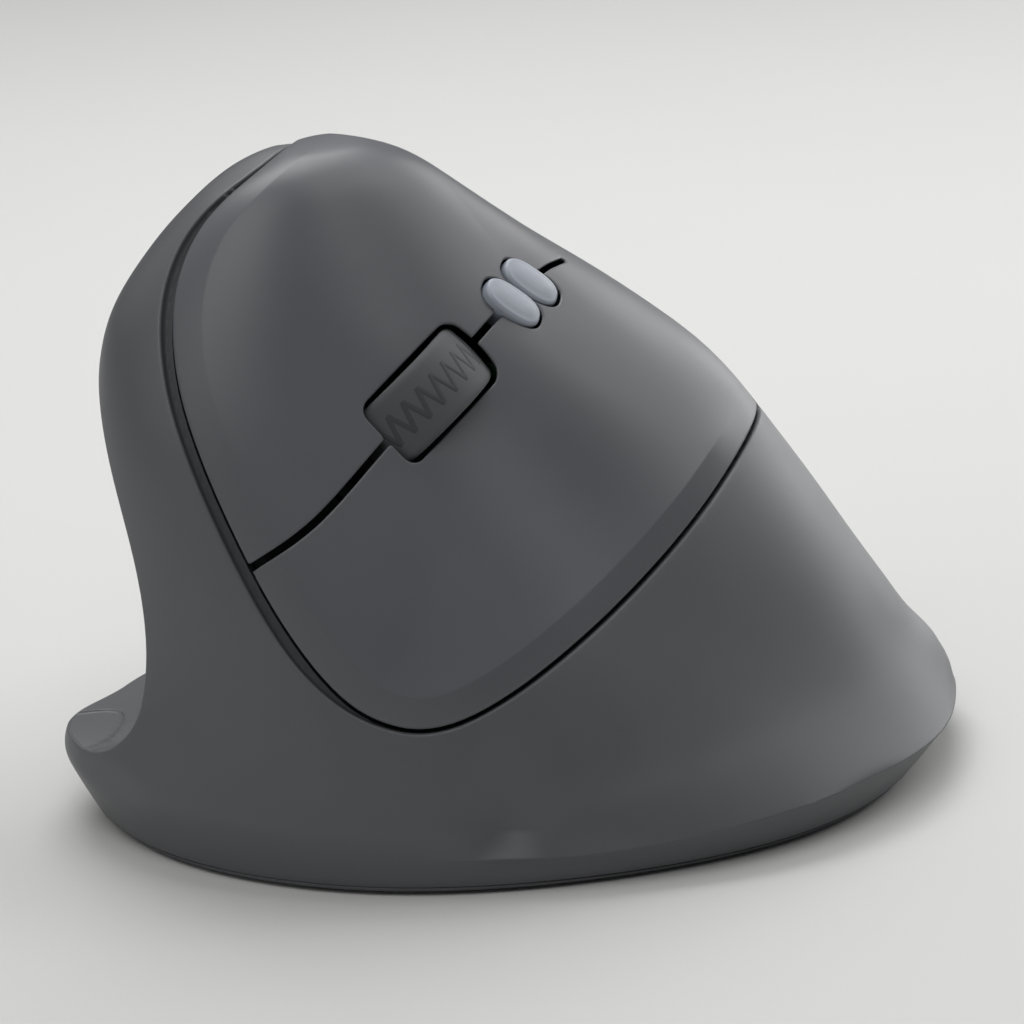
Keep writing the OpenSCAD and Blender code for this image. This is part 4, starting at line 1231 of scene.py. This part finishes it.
    @staticmethod
    def lip(p: np.ndarray) -> np.ndarray:
        """Moves that point the thumb lip.

        Args:
            p: Points in millimetres.
        Returns:
            Moves in millimetres.
        """
        total = 0.0
        for place, out, reach in LIP_PULLS:
            total += out * np.exp(-((p - np.array(place)) ** 2 @ np.array([1, 1, 0.3])) / (2 * reach ** 2))
        return np.outer(total, (*LIP_WAY, 0))

    @staticmethod
    def swell(p: np.ndarray) -> np.ndarray:
        """Soft swells and hollows that shape the shoulders of the form."""
        return sum(height * np.exp(-((p - np.array(place)) ** 2).sum(1) / (2 * reach ** 2))
                   for place, height, reach in SWELLS)

    def thumb_gap(self, p: np.ndarray, place: ThumbPlace) -> np.ndarray:
        """Distance outside a thumb button's opening.

        Args:
            p: Points in millimetres.
            place: The button's place.
        Returns:
            Distances, negative in the opening, large away from the thumb wall.
        """
        q = place.local(p, self.scoop)
        gap = round_box(q[:, 1], q[:, 2], self.thumb_hole, self.thumb_hole[1])
        return np.where(np.abs(q[:, 0]) < 4, gap, 20 + np.abs(gap))

    def thumb_pad(self, p: np.ndarray) -> np.ndarray:
        """Distance outside the shallow pad at the front of the thumb shelf."""
        return -self.pad.distances(p[:, :2]).min(1)

    def openings(self, p: np.ndarray) -> np.ndarray:
        """Distance of points from the slit, the wheel's slot and the small buttons' holes.

        Args:
            p: Points in millimetres.
        Returns:
            Distances, negative inside an opening.
        """
        q = self.panel.local(p)
        x, y = q[:, 0], q[:, 1]
        half = self.slit - 0.08 * ramp(-y, 20, 24)
        gap = np.hypot(x - self.bend(y), np.minimum(y + 28.6, 0)) - half
        arch = self.slot_arch * np.clip(1 - (x / self.slot[0]) ** 2, 0, 1) * ramp(-y, 4, 9)
        gap = np.minimum(gap, round_box(x, y + arch, self.slot, self.slot_corner))
        for side in (1, -1):
            gap = np.minimum(gap, PILLS.gap(x, y, side))
        return np.where(q[:, 2] > -9, gap, 20.0)

    def bend(self, y: np.ndarray) -> np.ndarray:
        """Sideways bend of the slit along its length."""
        return np.interp(y, *self.slit_line)

    def margin(self, p: np.ndarray) -> np.ndarray:
        """Width of the gap inside the panel's outline, thinner where the groove runs out over the crown."""
        return self.panel_edge * (1 - 0.5 * self.crown(p))

    def crown(self, p: np.ndarray) -> np.ndarray:
        """How far points lie over the crown, from 0 to 1."""
        q = self.panel.local(p)
        return ramp(-q[:, 1], 4, 18) * ramp(q[:, 0], 0, 12)

    def build_panel(self, skin: Skin) -> None:
        """Make the two halves of the key panel.

        Args:
            skin: The part of the skin inside the panel's outline.
        """
        local = self.panel.local
        skin.field("edge", lambda p: self.panel.inside(p) - self.margin(p))
        skin.field("rim", lambda p: np.minimum(self.panel.inside(p) - self.margin(p), self.openings(p)))
        skin.field("mid", lambda p: local(p)[:, 0] - self.bend(local(p)[:, 1]))
        # The middle of the slit is cut first, so no triangle spans it
        skin.split("mid", 0.0)
        skin.split("rim", 0.7, -0.2, 0.0)
        skin = skin.keep(skin.at_faces("rim") > 0)
        skin.split("rim", 0.05, 0.15, 0.35)
        skin.split("edge", self.crease_at - 0.15, self.crease_at, self.crease_at + 0.15)
        plain = skin.normals()
        s = skin.values["edge"]
        q = local(skin.points)
        # The crease starts at the ridge, further forward on the middle finger's side
        index_side = ramp(q[:, 0], -8, 8)
        front = ramp((self.panel.ridge(q) - 3 + 9 * index_side) / (11 - 2 * index_side), 0, 1)
        rise = self.crease * s / self.crease_at
        fall = self.crease - (self.crease + self.dish) * (1 - np.exp(-(s - self.crease_at) / 8.0))
        lift = front * np.where(s < self.crease_at, rise, fall)
        lift -= np.where(s < 0.36, rounded(skin.values["rim"], 0.35), rounded(skin.values["rim"], 0.15))
        lift += self.swell(skin.points)
        skin.points = held(skin.points + lift[:, None] * plain)
        skin.values["shade"], skin.values["inward"] = skin.normals(), -plain
        skin.fields.clear()
        mid = skin.at_faces("mid")
        lean, run = math.radians(self.flex_lean), self.flex_run
        start = self.panel.world([[0.0, self.flex_at, 0.0]])[0]
        end = self.panel.world([[-run * math.sin(lean), self.flex_at + run * math.cos(lean), 0.0]])[0]
        for side, body, nodes in ((Side.INDEX, "index_key", ("index_key", "ridge_cover")),
                                  (Side.MIDDLE, "middle_key", ("middle_key",))):
            half = skin.keep(mid * side.value > 0)
            # The wall is thin round the openings, so that the wheel and caps clear it
            least = self.opening_wall
            depth = least + (self.panel_wall - least) * ramp(self.openings(half.points), 0.0, self.opening_run)
            made = half.thick(side.name.lower() + "_panel", depth, half.values["inward"], half.values["shade"],
                              [PANEL])
            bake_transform(made)
            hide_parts(*nodes)
            log.info("%s: %d faces", made.name, len(made.data.polygons))


# Small parts

def cushion(edge: np.ndarray, spine: np.ndarray, top: float, crown: float, low: float,
            fillet: tuple[float, float] = (0.55, 0.75)) -> tuple[np.ndarray, list]:
    """A pillow-topped cap standing on Z.

    Args:
        edge: Plan points of the outline, against the clock.
        spine: The middle point that each outline point is drawn towards.
        top: Height of the middle.
        crown: How far the top falls towards its edge.
        low: Height of the underside.
        fillet: Width and height of the rounded edge of the top.
    Returns:
        Points and faces.
    """
    n = len(edge)
    wide, high = fillet
    rings = [(0.0, low)]
    for a in np.linspace(0, 90, 10):
        r = math.radians(a)
        rings.append((wide * (1 - math.cos(r)), top - crown - high + high * math.sin(r)))
    way = unit(spine - edge)
    points = [np.column_stack([edge + inset * way, np.full(n, z)]) for inset, z in rings]
    inner = points[-1][:, :2]
    for u in (0.2, 0.4, 0.6, 0.8, 0.93):
        points.append(np.column_stack([inner + u * (spine - inner), np.full(n, top - crown * (1 - u) ** 2)]))
    return np.concatenate(points), stack_faces(len(points), n)


@dataclass
class DpiButtons:
    """The two pale speed buttons on the slit behind the wheel."""

    proud: float = 0.5
    deep: float = 3.0
    crown: float = 0.25
    fillet: tuple[float, float] = (0.6, 0.5)

    def build(self, panel: PanelFrame) -> None:
        """Make both caps on their slope.

        Args:
            panel: The panel's frame.
        """
        turn = panel.turn @ rotation("X", PILLS.tilt)
        middle = panel.world([PILLS.middle])[0]
        edge = PILLS.oval(96)
        reach = (PILLS.size[0] - PILLS.size[1]) / 2 / (PILLS.size[0] / 2)
        along = rotation("Z", PILLS.turn)[:2, 0]
        spine = np.outer(edge @ along * reach, along)
        for name, side in (("dpi_front", 1), ("dpi_rear", -1)):
            points, faces = cushion(edge, spine, self.proud, self.crown, -self.deep, self.fillet)
            points = (points + np.array([0, side * PILLS.pitch / 2, 0])) @ turn.T + middle
            made = new_object(name + "_cap", points, faces, [PALE], smooth_angle=60)
            settle(made, name, "pale", name)


@dataclass
class ThumbButtons:
    """The forward and back buttons on the thumb wall."""

    size: tuple[float, float] = (12.0, 6.0)
    proud: float = 1.4
    deep: float = 2.6
    crown: float = 0.35
    spine: float = 0.35

    def build(self, scoop: Scoop) -> None:
        """Make both caps on the wall.

        Args:
            scoop: The thumb scoop.
        """
        for place in THUMBS:
            edge = stadium_plan(*self.size, 36)
            half = (self.size[0] - self.size[1]) * self.spine
            spine = np.stack([np.clip(edge[:, 0], -half, half), np.zeros(len(edge))], 1)
            points, faces = cushion(edge, spine, self.proud, self.crown, -self.deep)
            # The cap's length lies along the wall, its top looks out of it
            stand = np.stack([-points[:, 2], -points[:, 0], points[:, 1]], 1)
            stand = stand @ place.turn().T + place.middle(scoop)
            made = new_object(place.name + "_cap", stand, faces, [BUTTON], smooth_angle=40)
            settle(made, place.name, "button", place.name)


class Repeat:
    """Geometry Nodes that set copies of one small mesh on the points of another."""

    seed = 7
    sharp_from = 35

    def __init__(self, name: str) -> None:
        """Build the node tree.

        Args:
            name: Name of the tree.
        """
        self.tree = bpy.data.node_groups.new(name, "GeometryNodeTree")
        face = self.tree.interface
        face.new_socket("Geometry", in_out="INPUT", socket_type="NodeSocketGeometry")
        self.unit = face.new_socket("Unit", in_out="INPUT", socket_type="NodeSocketObject").identifier
        self.spread = face.new_socket("Free turn", in_out="INPUT", socket_type="NodeSocketFloat").identifier
        self.finish = face.new_socket("Finish", in_out="INPUT", socket_type="NodeSocketMaterial").identifier
        face.new_socket("Geometry", in_out="OUTPUT", socket_type="NodeSocketGeometry")
        t = self.tree
        given = add_node(t, "NodeGroupInput")
        unit_info = add_node(t, "GeometryNodeObjectInfo", links={"Object": given.outputs["Unit"]},
                             transform_space="ORIGINAL")
        aim = add_node(t, "GeometryNodeInputNamedAttribute", {"Name": "turn"}, data_type="FLOAT_VECTOR")
        free = add_node(t, "FunctionNodeRandomValue", {"Seed": self.seed}, {3: given.outputs["Free turn"]},
                        data_type="FLOAT")
        twist = add_node(t, "ShaderNodeCombineXYZ", links={2: free.outputs[1]})
        total = add_node(t, "ShaderNodeVectorMath", links={0: aim.outputs[0], 1: twist.outputs[0]},
                         operation="ADD")
        spread = add_node(t, "GeometryNodeInstanceOnPoints",
                          links={"Points": given.outputs["Geometry"], "Instance": unit_info.outputs["Geometry"],
                                 "Rotation": total.outputs[0]})
        real = add_node(t, "GeometryNodeRealizeInstances", links={0: spread.outputs[0]})
        dress = add_node(t, "GeometryNodeSetMaterial",
                         links={"Geometry": real.outputs[0], "Material": given.outputs["Finish"]})
        add_node(t, "NodeGroupOutput", links={0: dress.outputs[0]})

    def bake(self, name: str, unit_object: bpy.types.Object, places: np.ndarray, turns: np.ndarray,
             finish: Finish, free_turn: float = 0.0) -> bpy.types.Object:
        """Set the copies and keep them as one plain mesh.

        Args:
            name: Name of the piece.
            unit_object: The mesh to repeat, in metres about the origin.
            places: Places in millimetres.
            turns: Turns about X, Y and Z at each place, in radians.
            finish: Finish of the copies.
            free_turn: Greatest seeded turn about Z, in radians.
        Returns:
            The baked object.
        """
        mesh = bpy.data.meshes.new(name + "_places")
        mesh.from_pydata((np.asarray(places, float) * MM).tolist(), [], [])
        aim = mesh.attributes.new("turn", "FLOAT_VECTOR", "POINT")
        aim.data.foreach_set("vector", np.asarray(turns, np.float32).ravel())
        made = bpy.data.objects.new(name, mesh)
        bpy.context.scene.collection.objects.link(made)
        step = made.modifiers.new("repeat", "NODES")
        step.node_group = self.tree
        step[self.unit], step[self.spread], step[self.finish] = unit_object, free_turn, finish.material()
        graph = bpy.context.evaluated_depsgraph_get()
        baked = bpy.data.meshes.new_from_object(made.evaluated_get(graph))
        made.modifiers.clear()
        made.data = baked
        baked.name = name
        baked.shade_smooth()
        baked.set_sharp_from_angle(angle=math.radians(self.sharp_from))
        bpy.data.objects.remove(unit_object)
        return made


@dataclass
class ScrollWheel:
    """The rubber tyre with its zig-zag grip, on the hub in the carriage."""

    radius: float = 10.3
    width: float = 7.9
    bore: float = 8.55
    shoulder: float = 1.0
    zigs: int = 28
    zig_half: float = 1.8
    zig_height: float = 0.05
    depth: float = 7.9
    crown: float = 0.16
    leg_steps: int = 6
    rib_section: tuple = ((-0.6, -0.15), (-0.2, 0.0), (0.2, 0.0), (0.6, -0.15))

    def build(self, panel: PanelFrame, repeat: Repeat) -> None:
        """Make the tyre and its grip.

        Args:
            panel: The panel's frame.
            repeat: The repeating node group.
        """
        w, r, s = self.width / 2, self.radius, self.shoulder
        a = np.radians(np.linspace(0, 90, 9))
        arc = [(s * (1 - math.cos(t)), r - s * 0.9 + (s * 0.9 - self.crown) * math.sin(t)) for t in a]
        line = [(-w, self.bore), (-w, r - s * 1.2)] + [(-w + x, y) for x, y in arc]
        line += [(x, r - self.crown * (x / (w - s)) ** 2) for x in np.linspace(-w + s, w - s, 15)[1:-1]]
        line += [(w - x, y) for x, y in arc[::-1]] + [(w, r - s * 1.2), (w, self.bore)]
        section = np.array(line)
        n, turns = len(section), 144
        angle = np.arange(turns) * 2 * math.pi / turns
        across, out = section.T
        points = np.concatenate([np.stack([across, out * math.cos(t), out * math.sin(t)], 1) for t in angle])
        faces = [[q % len(points) for q in face] for face in ring_faces(turns + 1, n)]
        centre = panel.world([[0.0, 0.0, -self.depth]])[0]
        tyre = new_object("tyre", points @ panel.turn.T + centre, faces, [RUBBER], smooth_angle=40)
        settle(tyre, "wheel", "tyre", "wheel_tyre")
        self.grip(panel, repeat, centre)

    def grip(self, panel: PanelFrame, repeat: Repeat, centre: np.ndarray) -> None:
        """Set the zig-zag ribs round the tyre.

        Args:
            panel: The panel's frame.
            repeat: The repeating node group.
            centre: Middle of the wheel in millimetres.
        """
        step = 2 * math.pi / self.zigs
        h = self.zig_half
        top = self.radius + self.zig_height
        line = [(-h, -step / 2), (h, 0.0), (-h, step / 2)]
        points = []
        for (x0, t0), (x1, t1) in zip(line, line[1:]):
            for u in np.arange(self.leg_steps + 1) / self.leg_steps:
                x, t = x0 + u * (x1 - x0), t0 + u * (t1 - t0)
                sag = self.crown * (x / (self.width / 2 - self.shoulder)) ** 2
                for side, lift in self.rib_section:
                    r = top + lift - sag
                    points.append((x, r * math.sin(t + side / r), r * math.cos(t + side / r)))
        n, rows = len(self.rib_section), self.leg_steps + 1
        starts = [(leg * rows + k) * n + side
                  for leg in range(2) for k in range(rows - 1) for side in range(n - 1)]
        faces = [[q, q + n, q + n + 1, q + 1] for q in starts]
        p = np.array(points)
        first = np.array(faces)
        flat = np.cross(p[first[:, 1]] - p[first[:, 0]], p[first[:, 3]] - p[first[:, 0]])
        out = (flat * p[first].mean(1) * np.array([0, 1, 1])).sum(1)
        first[out < 0] = first[out < 0][:, ::-1]
        # The ribs take the darker grip colour, painted shade that draws them as dark strokes on the tyre
        zig = new_object("zig", p, first, [GRIP_SHADE])
        turns = np.zeros((self.zigs, 3))
        turns[:, 0] = np.arange(self.zigs) * step
        ribs = repeat.bake("tyre_grip", zig, np.zeros((self.zigs, 3)), turns, GRIP_SHADE)
        place = Matrix(panel.turn.tolist()).to_4x4()
        place.translation = Vector((centre * MM).tolist())
        ribs.data.transform(place)
        settle(ribs, "wheel", "tyre")


@dataclass
class BaseAssembly:
    """The base pan with its openings, feet, screws, door ribs and slider ribs."""

    base_z: float = 0.6
    seam_z: float = 1.15
    floor_z: float = 2.6
    wall: float = 2.2
    screw_bearings: tuple = (30, 110, 200, 300, 335)
    screw_inset: float = 5.0
    feet: tuple = ((12, 40, 18, 5, -10), (-29.5, 4, 18, 5, 82), (3, -44, 16, 5, 3), (29, 2, 18, 5, 92))
    bay: tuple = (-17.0, 7.35)
    bay_front: float = 15.6
    far: float = 90.0
    # Walls of the cell's tray about the middle of the bay
    tray: tuple = ((-9.0, -39.1, -7.4, 18.2), (7.4, -39.1, 9.0, 18.2), (-9.0, -39.1, 9.0, -37.5),
                   (-9.0, 16.6, 9.0, 18.2))
    # Windows for the sensor, the power slider and the receiver
    windows: tuple = ((-2.5, 8, 5.5, 16), (-1.7, -21.2, 4.7, -13.8), (-5.9, -36.9, 8.9, -30.1))
    # Radius, sides and depth of each screw's hole and of the seat of its head
    screw_holes: tuple = ((1.35, 32, 3), (2.5, 40, 1.4))

    def build(self, form: BodyForm, repeat: Repeat) -> None:
        """Make every piece of the base.

        Args:
            form: The lines plan.
            repeat: The repeating node group.
        """
        screws = np.array([form.base_outline(360, self.screw_inset)[b] for b in self.screw_bearings])
        self.build_pan(form, screws)
        self.build_feet()
        self.build_screws(screws, repeat)
        self.build_ribs(repeat)

    def build_pan(self, form: BodyForm, screws: np.ndarray) -> None:
        """Make the pan with its tray, stands and openings.

        Args:
            form: The lines plan.
            screws: Places of the screws.
        """
        edge = form.base_outline(288)
        steps = [(self.base_z, 0.25), (self.base_z + 0.08, 0.08), (self.base_z + 0.25, 0.0),
                 (self.seam_z - 0.16, 0.0), (self.seam_z - 0.06, 0.14)]
        pan = new_object("base_pan", *prism(edge, steps), [BASE])
        inner = form.base_outline(288, 1.2 * self.wall + 0.3)
        cx, half = self.bay
        low, high = self.floor_z - 0.01, self.floor_z + 8
        joins = [prism(inner, [(self.seam_z - 0.2, 0.0), (self.floor_z, 0.0)])]
        joins += [box_points((cx + x0, y0, low), (cx + x1, y1, high)) for x0, y0, x1, y1 in self.tray]
        joins += [prism(disc_plan((1.5 + x, 6 + y), 1.5, 32), [(low, 0.0), (self.floor_z + 4.2, 0.0)])
                  for x in (-5.5, 5.5) for y in (-31, 31)]
        cuts = [box_points((cx - half, -self.far, 0), (cx + half, self.bay_front, self.floor_z + 0.05)),
                box_points((cx - half - 1, -self.far, 1.0), (cx + half + 1, self.bay_front, 1.6))]
        cuts += [box_points((x0, y0, 0), (x1, y1, 3)) for x0, y0, x1, y1 in self.windows]
        for radius, count, deep in self.screw_holes:
            cuts += [prism(disc_plan(p, radius, count), [(0, 0.0), (deep, 0.0)]) for p in screws]
        combine("base_pan", pan, [new_object("join", *j, [BASE]) for j in joins], "UNION")
        combine("base_pan", pan, [new_object("cut", *c, [BASE]) for c in cuts], "DIFFERENCE")
        pan.data.shade_smooth()
        pan.data.set_sharp_from_angle(angle=math.radians(30))
        settle(pan, "case", "base", "base_plate")

    def build_feet(self) -> None:
        """Make the four low friction feet with softened edges."""
        points, faces, count = [], [], 0
        for x, y, length, width, turn in self.feet:
            plan = stadium_plan(length, width) @ rotation("Z", turn)[:2, :2].T + np.array([x, y])
            steps = [(0.0, 0.3), (0.06, 0.12), (0.16, 0.02), (0.3, 0.0), (self.base_z, 0.0)]
            p, f = prism(plan, steps)
            points.append(p)
            faces += [[i + count for i in face] for face in f]
            count += len(p)
        made = new_object("glide_pads", np.concatenate(points), faces, [FEET], smooth_angle=40)
        settle(made, "case", "feet", "glide_feet")

    def build_screws(self, screws: np.ndarray, repeat: Repeat) -> None:
        """Set five cross-recessed screws, each turned its own way.

        Args:
            screws: Places of the screws.
            repeat: The repeating node group.
        """
        head = prism(disc_plan((0, 0), 2.3, 40), [(0.0, 0.25), (0.1, 0.06), (0.25, 0.0), (0.7, 0.0)])
        unit_object = new_object("screw", *head, [STEEL])
        shank = prism(disc_plan((0, 0), 1.25, 32), [(0.65, 0.0), (5.2, 0.0), (5.5, 0.35)])
        combine("screw", unit_object, [new_object("shank", *shank, [STEEL])], "UNION")
        arms = [box_points((-x, -y, -0.2), (x, y, 0.45)) for x, y in ((1.25, 0.26), (0.26, 1.25))]
        combine("screw", unit_object, [new_object("arm", *a, [STEEL]) for a in arms], "DIFFERENCE")
        places = np.column_stack([screws, np.full(len(screws), self.base_z + 0.1)])
        made = repeat.bake("screw_set", unit_object, places, np.zeros((len(screws), 3)), STEEL, math.pi / 2)
        settle(made, "case", "steel", "base_screws")

    def build_ribs(self, repeat: Repeat) -> None:
        """Set grip ribs under the battery door and on the power slider.

        Args:
            repeat: The repeating node group.
        """
        for name, body, slot, finish, length, count, x, y, step, z in (
                ("door_ribs", "battery_door", "base", BASE, 8.0, 5, -17.0, 4.0, -1.5, 0.62),
                ("slider_ribs", "power_slider", "switch", SWITCH, 4.4, 3, 1.5, -20.2, 1.2, 0.92)):
            levels = [(-0.3, 0.22), (-0.2, 0.06), (0.15, 0.0)]
            rib = new_object("rib", *prism(stadium_plan(length, 0.7, 10), levels), [finish])
            places = np.array([(x, y + step * i, z) for i in range(count)])
            made = repeat.bake(name, rib, places, np.zeros((count, 3)), finish)
            settle(made, body, slot)


class Carried:
    """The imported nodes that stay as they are, dressed by their slots."""

    def dress(self) -> None:
        """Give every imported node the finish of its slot."""
        slots = {part["node"]: part["material_slot"] for part in frame["record"]["subparts"]}
        for name, node in frame["nodes"].items():
            node.data.materials.clear()
            # The axle takes a near-black colour as painted shade in the wheel's slot
            finish = AXLE_SHADE if name == "wheel_axle" else BY_SLOT[slots[name]]
            node.data.materials.append(finish.material())
            log.info("%s: %s", name, slots[name])


# Name, place and face in millimetres, and power in watts of each soft lamp
LAMPS = (("key", (260, -160, 520), 420, 2.4), ("top", (-150, 300, 560), 420, 1.4),
         ("back", (-70, -280, 480), 420, 0.6), ("low", (60, -760, 210), 520, 2.4),
         ("rim", (-420, -640, 700), 560, 1.8), ("front", (60, 480, 300), 360, 0.4),
         ("side", (420, 200, 380), 420, 0.3))


@dataclass(frozen=True)
class Studio:
    """Floor, lights and the camera of the photograph."""

    aim: tuple[float, float, float] = (-1.8, 6.3, 34.6)
    eye: tuple[float, float, float] = (-287.5, 292.0, 181.7)
    lens: float = 128.5
    sky: tuple[float, float, float, float] = (0.75, 0.77, 0.8, 1)
    sky_strength: float = 0.09
    floor_half: float = 900.0
    floor_drop: float = 0.02

    def build(self) -> None:
        """Set the floor, the world, the lights and the camera."""
        scene = bpy.context.scene
        scene.view_settings.view_transform = "Standard"
        w, z = self.floor_half, -self.floor_drop
        corners = np.array([(-w, -w, z), (w, -w, z), (w, w, z), (-w, w, z)])
        floor = new_object("floor", corners, [[0, 1, 2, 3]], [FLOOR])
        world = bpy.data.worlds.new("studio")
        world.use_nodes = True
        background = world.node_tree.nodes["Background"]
        background.inputs[0].default_value = self.sky
        background.inputs[1].default_value = self.sky_strength
        scene.world = world
        for lamp in LAMPS:
            self.lamp(*lamp)
        camera = bpy.data.cameras.new("camera")
        camera.lens, camera.sensor_width = self.lens, 36
        camera.clip_start, camera.clip_end = 0.01, 10
        stand = bpy.data.objects.new("camera", camera)
        scene.collection.objects.link(stand)
        stand.location = Vector(self.eye) * MM
        stand.rotation_euler = (Vector(self.aim) - Vector(self.eye)).to_track_quat("-Z", "Y").to_euler()
        scene.camera = stand

    def lamp(self, name: str, place: tuple[float, float, float], size: float, power: float) -> None:
        """Add a soft square lamp that looks at the mouse.

        Args:
            name: Name of the lamp.
            place: Its place in millimetres.
            size: Side of its face in millimetres.
            power: Power in watts.
        """
        light = bpy.data.lights.new(name, "AREA")
        light.size, light.energy = size * MM, power
        made = bpy.data.objects.new(name, light)
        bpy.context.scene.collection.objects.link(made)
        made.location = Vector(place) * MM
        made.rotation_euler = (Vector(self.aim) - Vector(place)).to_track_quat("-Z", "Y").to_euler()


def main() -> None:
    """Build every piece in order."""
    logging.basicConfig(level=logging.INFO, format="%(message)s")
    Studio().build()
    Carried().dress()
    body = Body()
    body.build()
    repeat = Repeat("repeat_on_points")
    ScrollWheel().build(body.panel, repeat)
    DpiButtons().build(body.panel)
    ThumbButtons().build(body.scoop)
    BaseAssembly().build(body.form, repeat)


if __name__ == "__main__":
    main()
